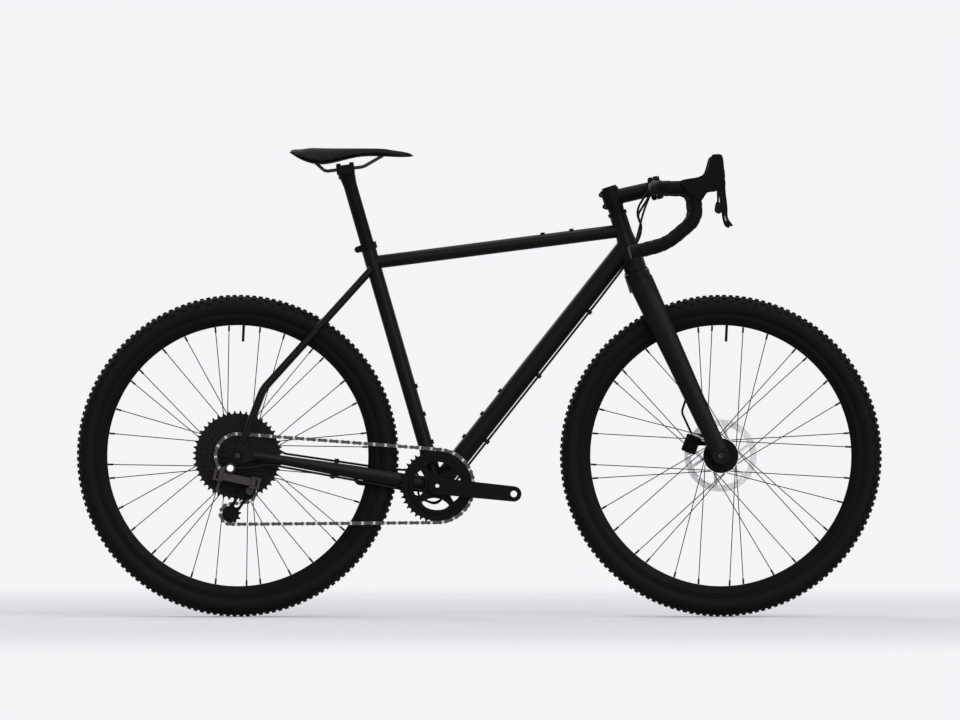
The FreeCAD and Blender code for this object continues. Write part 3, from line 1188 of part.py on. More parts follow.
def tyre_section():
    hook_top = size("bead_radius") + size("rim_hook_height")
    outer = float(CASING)
    inner = outer - size("casing_wall")
    bead_out = size("rim_width") / 2 - size("rim_hook_width") - size("bead_fit_gap")
    bead_in = bead_out - size("bead_width")
    base = size("bead_radius") + size("bead_fit_gap")
    over_hook = hook_top + size("bead_fit_gap") * 4
    side_turn = 180 - math.degrees(math.asin((size("rim_width") / 2 + size("tyre_overhang")) / outer))
    inner_turn = 180 - math.degrees(math.asin(bead_in / inner))
    outside = Part.Arc(section_point(outer, -side_turn), section_point(outer, 0), section_point(outer, side_turn))
    edges = [outside.toShape()]
    left = [
        section_point(outer, side_turn), Vector(over_hook, bead_out, 0), Vector(base, bead_out, 0),
        Vector(base, bead_in, 0), section_point(inner, inner_turn),
    ]
    right = [Vector(point.x, -point.y, 0) for point in reversed(left)]
    edges += [Part.makeLine(a, b) for a, b in zip(left, left[1:])]
    inside = Part.Arc(section_point(inner, inner_turn), section_point(inner, 0), section_point(inner, -inner_turn))
    edges.append(inside.toShape())
    edges += [Part.makeLine(a, b) for a, b in zip(right, right[1:])]
    return Part.Face(Part.Wire(Part.__sortEdges__(edges)))


def knob_section(first, last, height):
    low = float(CASING) - size("casing_wall") / 2
    high = float(CASING) + height
    middle = (first + last) / 2
    edges = [
        Part.Arc(section_point(low, first), section_point(low, middle), section_point(low, last)).toShape(),
        Part.makeLine(section_point(low, last), section_point(high, last)),
        Part.Arc(section_point(high, last), section_point(high, middle), section_point(high, first)).toShape(
        ),
        Part.makeLine(section_point(high, first), section_point(low, first)),
    ]
    return Part.Face(Part.Wire(edges))


def tyre_solid():
    cell = sector(tyre_section(), CELL, -CELL / 2)
    knobs = []
    for first, last, spot, height in KNOBS:
        middle = spot * CELL
        knobs.append(
            sector(knob_section(first, last, size(height)), KNOB_SHARE * CELL, middle - KNOB_SHARE * CELL / 2)
        )
    cell = cell.multiFuse(knobs)
    skin = []
    for face in cell.Faces:
        spot = face.CenterOfMass
        turn = math.degrees(math.atan2(-spot.z, spot.x))
        flat_end = face.Surface.TypeId == "Part::GeomPlane" and abs(abs(turn) - CELL / 2) < CELL / 100
        if not flat_end:
            skin.append(face)
    faces = []
    for number in range(TREAD_CELLS):
        for face in skin:
            turned_face = face.copy()
            turned_face.rotate(Vector(), Y_DIR, CELL * number)
            faces.append(turned_face)
    shell = Part.Shell(faces)
    shell.sewShape()
    return Part.Solid(shell)


tyre_shape = tyre_solid()


def wheel_parts(label, axle, hub, spoke_flanges):
    tyre = doc.addObject("Part::Feature", label + "_tyre")
    tyre.Shape = tyre_shape
    tyre.Placement = Placement(axle, Rotation())
    node(label + "_tyre", tyre)
    hook = S.rim_hook_width
    wide = S.rim_width
    outer = S.bead_radius + S.rim_hook_height
    bed = outer - S.rim_depth
    well = S.bead_radius - S.rim_well_depth
    shelf = hook + S.rim_shelf_width
    side = outer - S.rim_side_height
    middle = wide / 2
    half_bed = S.rim_bed_width / 2
    slope = S.rim_well_depth
    rim_points = (
        (outer, 0), (side, 0), (bed, middle - half_bed), (bed, middle + half_bed), (side, wide),
        (outer, wide),
        (outer, wide - hook), (S.bead_radius, wide - hook), (S.bead_radius, wide - shelf),
        (well, wide - shelf - slope), (well, shelf + slope), (S.bead_radius, shelf), (S.bead_radius, hook),
        (outer, hook),
    )
    rim_base = axle - Y_DIR * (size("rim_width") / 2)
    rim = turned(label + "_rim_ring", rim_points, rim_base, Y_DIR)
    wall = S.rim_wall
    cavity_points = (
        (side, wall), (bed + wall, middle - half_bed + wall), (bed + wall, middle + half_bed - wall),
        (side, wide - wall),
        (well - wall, wide - wall), (well - wall, wall),
    )
    cavity = turned(label + "_rim_cavity", cavity_points, rim_base, Y_DIR)
    valve_dir = Vector(math.cos(VALVE_TURN), 0, math.sin(VALVE_TURN))
    valve_top = axle + valve_dir * float(well)
    valve_end = valve_top - valve_dir * size("valve_length")
    valve_hole = rod(
        label + "_valve_hole", S.valve_radius + S.running_gap, valve_end, valve_top + valve_dir * size(
            "cut_overrun"
        )
    )
    valve = rod(label + "_valve", S.valve_radius, valve_end, valve_top, S.valve_length)
    node(label + "_rim", cut(label + "_rim_body", rim, cavity, valve_hole), valve)
    node(label + "_hub", hub)
    spokes = []
    for group in range(SPOKE_GROUPS):
        for share, flange, lean in SPOKE_SHARES:
            rim_turn = SPOKE_START - 360 / SPOKE_GROUPS * (group + share)
            spokes.append(
                spoke(
                    "%s_spoke%d" % (label, len(spokes)), axle, rim_turn, spoke_flanges[flange], lean,
                    float(bed),
                )
            )
    node(label + "_spokes", *spokes)


# Spokes: place in the group as a share, which flange, and which way round they lean
SPOKE_SHARES = ((0, 0, 1), (0.137, 1, 1), (0.442, 0, -1), (0.689, 1, -1))
SPOKE_START = 100
SPOKE_LEAN = 67.5
VALVE_SHARE = 0.28
VALVE_TURN = math.radians(SPOKE_START - 360 / SPOKE_GROUPS * VALVE_SHARE)


def spoke(name, axle, rim_turn, flange, lean, bed):
    flange_radius, flange_y = float(flange[0]), float(flange[1])
    side = 1 if flange_y > 0 else -1
    offset = size("spoke_side_offset") * lean
    rim_flat = polar(bed - size("nipple_gap"), rim_turn)
    hub_flat = polar(flange_radius - size("flange_hole_inset"), rim_turn + SPOKE_LEAN * lean)
    rim_end = axle + Vector(rim_flat.x, side * size("nipple_side_offset"), rim_flat.y)
    hub_end = axle + Vector(hub_flat.x, flange_y + offset, hub_flat.y)
    reach = flange_radius + size("flange_edge_gap") + size("spoke_radius")
    start = hub_end
    run = rim_end - hub_end
    low, high = 0, 1
    for _ in range(40):
        middle = (low + high) / 2
        spot = hub_end + run * middle - axle
        if math.hypot(spot.x, spot.z) < reach:
            low = middle
        else:
            high = middle
    start = hub_end + run * high
    heading = (rim_end - start).normalize()
    wire = rod(name + "_wire", S.spoke_radius, start, rim_end)
    nipple = rod(
        name + "_nipple", S.nipple_radius, rim_end - heading * size("nipple_length"), rim_end,
        S.nipple_length,
    )
    return fuse(name, wire, nipple)


HUB_BORE = S.thru_axle_radius + S.running_gap
FRONT_HALF = S.front_dropout_width / 2 - S.body_gap
flange_half = S.front_flange_width / 2
front_off = S.front_flange_offset
seat_end = FRONT_HALF + S.front_rotor_offset - S.rotor_thickness / 2
front_hub = turned(
    "front_hub_shell",
    (
        (HUB_BORE, 0), (S.axle_sleeve_radius, 0),
        (S.axle_sleeve_radius, FRONT_HALF - front_off - flange_half),
        (S.front_flange_radius, FRONT_HALF - front_off - flange_half),
        (S.front_flange_radius, FRONT_HALF - front_off + flange_half),
        (S.front_drum_radius, FRONT_HALF - front_off + flange_half * 2),
        (S.front_drum_radius, FRONT_HALF + front_off - flange_half * 2),
        (S.front_flange_radius, FRONT_HALF + front_off - flange_half),
        (S.front_flange_radius, FRONT_HALF + front_off + flange_half),
        (S.rotor_seat_radius, FRONT_HALF + front_off + flange_half), (S.rotor_seat_radius, seat_end),
        (S.axle_sleeve_radius, seat_end), (S.axle_sleeve_radius, FRONT_HALF * 2), (HUB_BORE, FRONT_HALF * 2),
    ),
    FRONT_AXLE - Y_DIR * float(FRONT_HALF), Y_DIR,
)
HUB_HALF = REAR_HALF - S.body_gap
rear_wide = S.rear_flange_width
right_face = HUB_HALF - S.rear_right_flange_offset
left_face = HUB_HALF + S.rear_left_flange_offset
rear_seat_end = HUB_HALF + S.rear_rotor_offset - S.rotor_thickness / 2
rear_hub = turned(
    "rear_hub_shell",
    (
        (HUB_BORE, 0), (S.freehub_axle_radius, 0), (S.freehub_axle_radius, right_face - rear_wide / 2),
        (S.rear_flange_radius, right_face - rear_wide / 2),
        (S.rear_flange_radius, right_face + rear_wide / 2),
        (S.rear_shell_radius, right_face + rear_wide), (S.rear_shell_radius, left_face - rear_wide),
        (S.rear_flange_radius, left_face - rear_wide / 2), (S.rear_flange_radius, left_face + rear_wide / 2),
        (S.rotor_seat_radius, left_face + rear_wide / 2), (S.rotor_seat_radius, rear_seat_end),
        (S.axle_sleeve_radius, rear_seat_end), (S.axle_sleeve_radius, HUB_HALF * 2), (HUB_BORE, HUB_HALF * 2),
    ),
    REAR_AXLE - Y_DIR * float(HUB_HALF), Y_DIR,
)
front_flanges = ((S.front_flange_radius, front_off), (S.front_flange_radius, -front_off))
rear_flanges = (
    (S.rear_flange_radius, S.rear_left_flange_offset),
    (S.rear_flange_radius, -S.rear_right_flange_offset),
)
wheel_parts("front", FRONT_AXLE, front_hub, front_flanges)
wheel_parts("rear", REAR_AXLE, rear_hub, rear_flanges)


# Rotors: a drilled track on curved arms, bolted to the hub
def rotor(label, axle, offset):
    track_in = S.rotor_radius - S.rotor_track_width
    outlines = [[circle(Vector(), S.rotor_radius)], [circle(Vector(), S.rotor_bore_radius)]]
    step = 360 / ROTOR_ARMS
    inner_lean = math.degrees(size("rotor_arm_width") / float(S.rotor_hub_radius)) / 2
    outer_lean = math.degrees(size("rotor_arm_width") / float(track_in)) / 2
    for arm in range(ROTOR_ARMS):
        first = arm * step
        swirl = first + step * ARM_SWIRL_SHARE
        low_a, low_b = first + inner_lean, first + step - inner_lean
        high_a, high_b = swirl + outer_lean, swirl + step - outer_lean
        corners = [
            polar(S.rotor_hub_radius, low_a), polar(S.rotor_hub_radius, low_b), polar(track_in, high_b),
            polar(track_in, high_a),
        ]
        outlines.append(
            [
                arc_through(corners[0], polar(S.rotor_hub_radius, (low_a + low_b) / 2), corners[1]),
                Part.LineSegment(corners[1], corners[2]),
                arc_through(corners[2], polar(track_in, (high_a + high_b) / 2), corners[3]),
                Part.LineSegment(corners[3], corners[0]),
            ]
        )
        outlines.append([circle(polar(S.rotor_bolt_circle / 2, first), S.rotor_bolt_radius)])
    for vent in range(ROTOR_VENTS):
        wave = VENT_SHARES[vent % len(VENT_SHARES)]
        outlines.append(
            [
                circle(
                    polar(track_in + S.rotor_track_width * wave, vent * 360 / ROTOR_VENTS),
                    S.rotor_vent_radius,
                )
            ]
        )
    disc = plate(label + "_rotor_disc", outlines, S.rotor_thickness, axle, offset + S.rotor_thickness / 2)
    bolts = []
    for arm in range(ROTOR_ARMS):
        spot = polar(S.rotor_bolt_circle / 2, arm * step)
        centre = axle + Vector(spot.x, 0, spot.y)
        face = offset + S.rotor_thickness / 2
        shank = across_rod(
            "%s_rotor_shank%d" % (label, arm), S.rotor_bolt_radius, centre,
            offset - S.rotor_thickness / 2, face,
        )
        head = across_rod(
            "%s_rotor_head%d" % (label, arm), S.rotor_bolt_head_radius, centre, face,
            face + S.rotor_bolt_head_height,
        )
        bolts.append(fuse("%s_rotor_bolt%d" % (label, arm), shank, head))
    node(label + "_rotor", disc, *bolts)


ARM_SWIRL_SHARE = 0.35
VENT_SHARES = (0.28, 0.5, 0.72)
rotor("front", FRONT_AXLE, S.front_rotor_offset)
rotor("rear", REAR_AXLE, S.rear_rotor_offset)


# Brake calipers straddle the rotor's rim; the foot carries each one on the fork or the chainstay
def caliper(label, axle, offset, degrees, foot_centre, foot_low, foot_high, carriers):
    turn = math.radians(degrees)
    outward = Vector(math.cos(turn), 0, math.sin(turn))
    along = Y_DIR.cross(outward)
    centre = axle + outward * size("caliper_radius") + Y_DIR * float(offset)
    body = block(
        label + "_caliper_block", S.caliper_length, S.caliper_half_width * 2, S.caliper_height, centre,
        outward, along,
    )
    rounded = doc.addObject("Part::Fillet", label + "_caliper_round")
    rounded.Base = body
    rounded.Edges = [
        (number, size("caliper_edge_radius"), size("caliper_edge_radius"))
        for number in range(1, 13)
    ]
    piston = across_rod(
        label + "_piston_boss", S.caliper_piston_radius, centre,
        offset - S.caliper_half_width - S.caliper_edge_radius / 2,
        offset + S.caliper_half_width + S.caliper_edge_radius / 2,
    )
    foot_wide = foot_high - foot_low
    foot_middle = Vector(foot_centre.x, float(foot_low + foot_wide / 2), foot_centre.z)
    foot = block(
        label + "_caliper_foot", S.caliper_foot_length, foot_wide, S.caliper_foot_height, foot_middle,
    )
    half_slot = S.caliper_slot_width / 2
    slot = across_rod(
        label + "_caliper_slot", S.rotor_radius + S.caliper_slot_gap, axle,
        offset - half_slot, offset + half_slot
    )
    blank = fuse(label + "_caliper_blank", rounded, piston, foot)
    body_cut = cut(label + "_caliper_body", blank, slot, *carriers)
    pads = []
    for number, side in enumerate((-1, 1)):
        middle = centre + outward * size("pad_shift")
        shift = half_slot - S.pad_seat_gap - S.caliper_pad_thickness / 2
        spot = Vector(middle.x, float(offset + shift * side), middle.z)
        pads.append(
            block(
                "%s_pad%d" % (label, number), S.pad_length, S.caliper_pad_thickness, S.pad_height, spot,
                outward, along,
            )
        )
    node(label + "_brake_caliper", body_cut, *pads)
    return blank


front_foot = FRONT_AXLE + Vector(-size("front_foot_back"), 0, size("front_foot_rise"))
front_caliper_blank = caliper(
    "front", FRONT_AXLE, S.front_rotor_offset, size("front_caliper_angle"), front_foot, S.front_foot_inner,
    S.front_foot_inner + S.front_foot_width, (left_leg,),
)
rear_foot = REAR_AXLE + Vector(size("rear_foot_ahead"), 0, size("rear_foot_rise"))
rear_caliper_blank = caliper(
    "rear", REAR_AXLE, S.rear_rotor_offset, size("rear_caliper_angle"), rear_foot, S.rear_foot_inner,
    S.rear_foot_inner + S.rear_foot_width, (left_chainstay,),
)


# Toothed wheels: gullets that seat the chain's rollers, with flanks that lean in to a narrow tip
def pitch_radius(teeth):
    return size("chain_pitch") / (2 * math.sin(math.pi / teeth))


GULLET_TURN = 62


def toothed(teeth, phase, height):
    middle = pitch_radius(teeth)
    tip = middle + float(height)
    tip_lean = math.degrees(size("tooth_tip_half_width") / tip)
    step = 360 / teeth
    outline = []
    corners = []
    for number in range(teeth):
        turn = phase + number * step
        seat = polar(middle, turn)
        start = seat + polar(S.gullet_radius, turn + 180 + GULLET_TURN)
        deep = seat + polar(S.gullet_radius, turn + 180)
        end = seat + polar(S.gullet_radius, turn + 180 - GULLET_TURN)
        corners.append(
            (start, deep, end, polar(tip, turn + step / 2 - tip_lean), polar(tip, turn + step / 2 + tip_lean))
        )
    for number in range(teeth):
        start, deep, end, tip_a, tip_b = corners[number]
        following = corners[(number + 1) % teeth][0]
        outline.append(arc_through(start, deep, end))
        outline.append(Part.LineSegment(end, tip_a))
        outline.append(Part.LineSegment(tip_a, tip_b))
        outline.append(Part.LineSegment(tip_b, following))
    return outline


# The chain's loop in the side view: chainring, tension pulley, guide pulley, sprocket, and each one's turn
GUIDE = REAR_AXLE + Vector(-size("guide_back"), 0, -size("guide_down"))
RING_CENTRE = Vector(BB.x, BB.z, 0)
CASSETTE_CENTRE = Vector(REAR_AXLE.x, REAR_AXLE.z, 0)
GUIDE_CENTRE = Vector(GUIDE.x, GUIDE.z, 0)
TENSION_START = Vector(REAR_AXLE.x - size("tension_back"), REAR_AXLE.z - size("tension_down"), 0)


def turned_left(way):
    return Vector(-way.y, way.x, 0)


def chain_route(tension):
    """Arcs and straight runs of the chain's loop, in its direction of travel."""
    wheels = (
        (RING_CENTRE, pitch_radius(CHAINRING_TEETH), -1), (tension, pitch_radius(PULLEY_TEETH), -1),
        (GUIDE_CENTRE, pitch_radius(PULLEY_TEETH), 1), (CASSETTE_CENTRE, pitch_radius(CHAIN_SPROCKET), -1),
    )
    runs = []
    for number in range(len(wheels)):
        centre_a, radius_a, way_a = wheels[number]
        centre_b, radius_b, way_b = wheels[(number + 1) % len(wheels)]
        gap = centre_b - centre_a
        lean = way_b * radius_b - way_a * radius_a
        reach = math.sqrt(gap.Length ** 2 - lean ** 2)
        turn = math.atan2(gap.y, gap.x) - math.atan2(lean, reach)
        heading = Vector(math.cos(turn), math.sin(turn), 0)
        side = turned_left(heading)
        runs.append((centre_a - side * (way_a * radius_a), centre_b - side * (way_b * radius_b)))
    pieces = []
    for number, (centre, radius, way) in enumerate(wheels):
        arrive = runs[number - 1][1] - centre
        leave = runs[number][0] - centre
        start = math.atan2(arrive.y, arrive.x)
        sweep = (way * (math.atan2(leave.y, leave.x) - start)) % (2 * math.pi)
        pieces.append(("arc", radius * sweep, centre, radius, start, way))
        pieces.append(("line", (runs[number][1] - runs[number][0]).Length, runs[number][0], runs[number][1]))
    return pieces


def route_point(pieces, distance):
    for piece in pieces:
        if distance <= piece[1]:
            break
        distance -= piece[1]
    if piece[0] == "arc":
        turn = piece[4] + piece[5] * distance / piece[3]
        return piece[2] + Vector(math.cos(turn), math.sin(turn), 0) * piece[3]
    return piece[2] + (piece[3] - piece[2]) * (distance / piece[1])


def chain_pins(pieces, links):
    """The pins' places, each one pitch from the last, and how far the loop is from closing."""
    total = sum(piece[1] for piece in pieces)
    pitch = size("chain_pitch")
    spot = 0
    places = []
    for _ in range(links):
        here = route_point(pieces, spot % total)
        places.append((here, spot))
        low, high = spot, spot + pitch * 1.5
        for _ in range(50):
            middle = (low + high) / 2
            if (route_point(pieces, middle % total) - here).Length < pitch:
                low = middle
            else:
                high = middle
        spot = high
    return places, spot - total


def tension_at(degrees):
    arm = TENSION_START - GUIDE_CENTRE
    turn = math.radians(degrees)
    swung = Vector(
        arm.x * math.cos(turn) - arm.y * math.sin(turn), arm.x * math.sin(turn) + arm.y * math.cos(turn),
        0,
    )
    return GUIDE_CENTRE + swung


start_length = sum(piece[1] for piece in chain_route(TENSION_START))
LINKS = 2 * round(start_length / size("chain_pitch") / 2)
low_turn, high_turn = -30, 30
for _ in range(50):
    swing = (low_turn + high_turn) / 2
    slack = chain_pins(chain_route(tension_at(swing)), LINKS)[1]
    if slack > 0:
        high_turn = swing
    else:
        low_turn = swing
TENSION_CENTRE = tension_at(swing)
TENSION = Vector(TENSION_CENTRE.x, 0, TENSION_CENTRE.y)
ROUTE = chain_route(TENSION_CENTRE)
PINS = [place_of for place_of, _ in chain_pins(ROUTE, LINKS)[0]]
print("chain links", LINKS, "closing error", round(chain_pins(ROUTE, LINKS)[1], 4), "swing", round(swing, 3))


def mesh_phase(centre, teeth):
    """The turn, in degrees, that puts a gullet under a seated roller."""
    best = min(PINS, key=lambda pin: abs((pin - centre).Length - pitch_radius(teeth)))
    arm = best - centre
    return math.degrees(math.atan2(arm.y, arm.x))


# One inner and one outer link, drawn along X from its first pin, then copied round the loop
CHAIN_Y = -size("chain_line")


def link_plate(low, thick, hole):
    half = size("plate_height") / 2
    waist = size("plate_waist") / 2
    pitch = size("chain_pitch")
    first, last = Vector(0, low, 0), Vector(pitch, low, 0)
    reach = half * WAIST_SHARE
    top = [
        Vector(reach, low, half * ROUND_SHARE), Vector(pitch / 2, low, waist),
        Vector(pitch - reach, low, half * ROUND_SHARE),
    ]
    foot = [Vector(point.x, low, -point.z) for point in reversed(top)]
    edges = [
        Part.Arc(foot[2], Vector(-half, low, 0), top[0]).toShape(),
        Part.Arc(top[0], top[1], top[2]).toShape(),
        Part.Arc(top[2], Vector(pitch + half, low, 0), foot[0]).toShape(),
        Part.Arc(foot[0], foot[1], foot[2]).toShape(),
    ]
    solid = Part.Face(Part.Wire(edges)).extrude(Vector(0, thick, 0))
    if hole:
        for spot in (first, last):
            solid = solid.cut(Part.makeCylinder(hole, thick, spot, Y_DIR))
    return solid


WAIST_SHARE = 0.6
ROUND_SHARE = 0.8


def inner_link():
    half = size("roller_half_width")
    thick = size("inner_plate_thickness")
    hole = size("pin_radius") + size("pin_fit_gap")
    plates = [link_plate(half, thick, hole), link_plate(-half - thick, thick, hole)]
    for x in (0, size("chain_pitch")):
        roller = Part.makeCylinder(size("roller_radius"), half * 2, Vector(x, -half, 0), Y_DIR)
        plates.append(roller.cut(Part.makeCylinder(hole, half * 2, Vector(x, -half, 0), Y_DIR)))
    return plates[0].multiFuse(plates[1:])


def outer_link():
    thick = size("outer_plate_thickness")
    low = size("roller_half_width") + size("inner_plate_thickness") + size("plate_gap")
    plates = [link_plate(low, thick, 0), link_plate(-low - thick, thick, 0)]
    for x in (0, size("chain_pitch")):
        plates.append(
            Part.makeCylinder(size("pin_radius"), (low + thick) * 2, Vector(x, -low - thick, 0), Y_DIR)
        )
    return plates[0].multiFuse(plates[1:])


link_shapes = (inner_link(), outer_link())
links = []
for number, pin in enumerate(PINS):
    following = PINS[(number + 1) % LINKS] - pin
    slope = -math.degrees(math.atan2(following.y, following.x))
    link = link_shapes[number % 2].copy()
    link.Placement = Placement(Vector(pin.x, CHAIN_Y, pin.y), Rotation(Y_DIR, slope))
    links.append(link)
chain = doc.addObject("Part::Feature", "chain")
chain.Shape = Part.makeCompound(links)
node("chain", chain)

# Cassette: sprockets on the freehub body, smallest outside, closed by a lockring
CHAIN_INDEX = SPROCKETS.index(CHAIN_SPROCKET)
sprockets = []
for number, teeth in enumerate(SPROCKETS):
    plane = -S.chain_line + S.sprocket_spacing * (CHAIN_INDEX - number)
    phase = mesh_phase(CASSETTE_CENTRE, teeth) if teeth == CHAIN_SPROCKET else 0
    root = pitch_radius(teeth) - size("gullet_radius")
    outlines = [toothed(teeth, phase, S.tooth_height), [circle(Vector(), S.freehub_radius)]]
    room = root - size("freehub_radius") - size("sprocket_rib") * 2
    if number > 0 and room > size("sprocket_rib"):
        ring = size("freehub_radius") + size("sprocket_rib") + room / 2
        holes = int(math.pi * ring * 2 / (room + size("sprocket_rib")))
        for hole in range(holes):
            outlines.append([circle(polar(ring, hole * 360 / holes), room / 2)])
    sprockets.append(
        plate(
            "sprocket%d" % teeth, outlines, S.sprocket_thickness, REAR_AXLE,
            plane + S.sprocket_thickness / 2,
        )
    )
last_plane = S.chain_line + S.sprocket_spacing * (len(SPROCKETS) - 1 - CHAIN_INDEX) + S.sprocket_thickness / 2
freehub_bore = across_rod("freehub_bore", S.freehub_axle_radius + S.running_gap, REAR_AXLE, -REAR_HALF, 0)
freehub_rod = across_rod("freehub_rod", S.freehub_radius, REAR_AXLE, -last_plane, -S.freehub_start)
lockring_rod = across_rod(
    "lockring_rod", S.lockring_radius, REAR_AXLE, -last_plane - S.lockring_width, -last_plane,
)
sprockets += [cut("freehub", freehub_rod, freehub_bore), cut("lockring", lockring_rod, freehub_bore)]
node("cassette", *sprockets)

# Crankset
CRANK_TURN = size("crank_tilt")
EYE = polar(S.crank_length, CRANK_TURN)
BACK_EYE = polar(S.crank_length, CRANK_TURN + 180)
arm_outer = S.crank_arm_inner + S.crank_arm_thickness
arm_holes = [[circle(EYE, S.pedal_hole_radius)], [circle(Vector(), S.crank_hole_radius)]]
arm_outline = tangent_link(Vector(), S.crank_root_radius, EYE, S.crank_eye_radius)
drive_arm = plate("drive_arm", [arm_outline] + arm_holes, S.crank_arm_thickness, BB, -S.crank_arm_inner)
drive_boss = across_rod("drive_boss", S.crank_root_radius, BB, -S.crank_arm_inner, -S.crank_boss_inner)
ring_face = S.chain_line + S.chainring_thickness / 2
WINDOW_HALF_TURN = 37
RING_BOLTS = 4
RING_STEP = 360 / RING_BOLTS
ring_spots = [
    polar(S.ring_bolt_circle, CRANK_TURN + RING_STEP * (number + 1 / 2))
    for number in range(RING_BOLTS)
]
spider_outlines = [[circle(Vector(), S.spider_radius)]] + [
    [circle(spot, S.ring_shank_radius)]
    for spot in ring_spots
]
for number in range(RING_BOLTS):
    middle = CRANK_TURN + number * RING_STEP
    first = polar(S.window_corner, middle - WINDOW_HALF_TURN)
    last = polar(S.window_corner, middle + WINDOW_HALF_TURN)
    spider_outlines.append(
        [
            arc_through(first, polar(S.window_outer, middle), last),
            arc_through(last, polar(S.window_inner, middle), first),
        ]
    )
spider = plate("spider", spider_outlines, S.spider_thickness, BB, -ring_face)
spindle_end = S.crank_arm_inner
spindle_blank = across_rod("spindle_blank", S.spindle_radius, BB, -spindle_end, spindle_end)
spindle_hole = across_rod("spindle_hole", S.spindle_bore_radius, BB, -spindle_end, spindle_end)
node("crank_spindle", cut("spindle", spindle_blank, spindle_hole))
node(
    "drive_crank_arm",
    cut("drive_crank", fuse("drive_crank_blank", drive_arm, drive_boss, spider), spindle_blank),
)
left_outline = tangent_link(Vector(), S.crank_root_radius, BACK_EYE, S.crank_eye_radius)
left_holes = [[circle(BACK_EYE, S.pedal_hole_radius)], [circle(Vector(), S.crank_hole_radius)]]
left_arm = plate("left_arm", [left_outline] + left_holes, S.crank_arm_thickness, BB, arm_outer)
left_boss = across_rod("left_boss", S.crank_root_radius, BB, S.crank_boss_inner, S.crank_arm_inner)
node("left_crank_arm", cut("left_crank", fuse("left_crank_blank", left_arm, left_boss), spindle_blank))
ring_outlines = [toothed(CHAINRING_TEETH, mesh_phase(RING_CENTRE, CHAINRING_TEETH), S.tooth_height)]
ring_outlines.append([circle(Vector(), S.chainring_bore_radius)])
ring_outlines += [[circle(spot, S.ring_shank_radius)] for spot in ring_spots]
ring_disc = plate(
    "chainring_disc", ring_outlines, S.chainring_thickness, BB, S.chainring_thickness / 2 - S.chain_line,
)
ring_bolts = []
spider_face = -(ring_face + S.spider_thickness)
ring_back = S.chainring_thickness / 2 - S.chain_line
for number, spot in enumerate(ring_spots):
    centre = BB + Vector(spot.x, 0, spot.y)
    shank = across_rod("ring_shank%d" % number, S.ring_shank_radius, centre, spider_face, ring_back)
    head = across_rod(
        "ring_head%d" % number, S.ring_bolt_radius, centre, spider_face - S.ring_bolt_height, spider_face,
    )
    ring_bolts.append(fuse("ring_bolt%d" % number, shank, head))
node("chainring", ring_disc, *ring_bolts)

# Pulleys and the derailleur's cage
pulley_room = S.pulley_pin_radius + S.running_gap


def pulley(label, centre, phase):
    outlines = [toothed(PULLEY_TEETH, phase, S.pulley_tooth_height), [circle(Vector(), pulley_room)]]
    node(
        label,
        plate(label + "_wheel", outlines, S.pulley_thickness, centre, S.pulley_thickness / 2 - S.chain_line),
    )


pulley("guide_pulley", GUIDE, mesh_phase(GUIDE_CENTRE, PULLEY_TEETH))
pulley("tension_pulley", TENSION, mesh_phase(TENSION_CENTRE, PULLEY_TEETH))
CAGE_PIVOT = REAR_AXLE + Vector(-size("cage_pivot_back"), 0, -size("cage_pivot_down"))
to_tension = flat(TENSION.x - GUIDE.x, TENSION.z - GUIDE.z)
cage_outline = tangent_link(Vector(), S.cage_eye_radius, to_tension, S.cage_eye_radius)
WINDOW_SHARES = (0.38, 0.62)
window_ends = [to_tension * share for share in WINDOW_SHARES]
cage_window = tangent_link(window_ends[0], S.cage_window_radius, window_ends[1], S.cage_window_radius)
inner_low = S.cage_gap - S.chain_line
outer_high = -S.cage_gap - S.chain_line
cage_inner = plate(
    "cage_inner", [cage_outline, cage_window], S.cage_thickness, GUIDE, inner_low + S.cage_thickness,
)
cage_outer = plate("cage_outer", [cage_outline, cage_window], S.cage_thickness, GUIDE, outer_high)
pivot_disc = across_rod(
    "cage_pivot_disc", S.cage_pivot_radius, CAGE_PIVOT, outer_high - S.cage_thickness, outer_high,
)
pivot_stub = across_rod(
    "cage_pivot_stub", S.cage_stub_radius, CAGE_PIVOT, outer_high - S.cage_thickness - S.cage_stub_length,
    outer_high,
)
cage_pins = []
for number, centre in enumerate((GUIDE, TENSION)):
    cage_pins.append(
        across_rod(
            "cage_pin%d" % number, S.pulley_pin_radius, centre, outer_high - S.cage_thickness,
            inner_low + S.cage_thickness,
        )
    )
node("derailleur_cage", fuse("cage", cage_inner, cage_outer, pivot_disc, pivot_stub, *cage_pins))

# Derailleur links: two plates that swing about upright pins and keep the lower knuckle level
LINK_REAR = REAR_AXLE + Vector(-size("link_rear_back"), -size("link_rear_offset"), -size("link_rear_down"))
LINK_FRONT = REAR_AXLE + Vector(
    -size("link_front_back"), -size("link_front_offset"), -size("link_front_down"),
)
LINK_RUN = LINK_FRONT - LINK_REAR
PIN_DIR = LINK_RUN.cross(Y_DIR).normalize()
LINK_DIR = Vector(LINK_RUN.x, LINK_RUN.y, LINK_RUN.z).normalize()
INWARD = Y_DIR * size("link_inner_shift")


def link_bar(name, rear, front):
    up = PIN_DIR * size("link_half_height")
    eyes = [
        rod(name + "_eye%d" % n, S.link_eye_radius, spot - up, spot + up, S.link_half_height * 2)
        for n, spot in enumerate((rear, front))
    ]
    holes = [
        rod(name + "_hole%d" % n, S.link_pin_radius + S.running_gap, spot - up * 2, spot + up * 2)
        for n, spot in enumerate((rear, front))
    ]
    web = block(
        name + "_web", as_quantity(LINK_RUN.Length), S.link_thickness, S.link_half_height * 2,
        (rear + front) / 2, PIN_DIR, LINK_DIR,
    )
    return cut(name + "_bar", fuse(name + "_blank", web, *eyes), *holes)


node("derailleur_outer_link", link_bar("outer_link", LINK_REAR, LINK_FRONT))
node("derailleur_inner_link", link_bar("inner_link", LINK_REAR + INWARD, LINK_FRONT + INWARD))


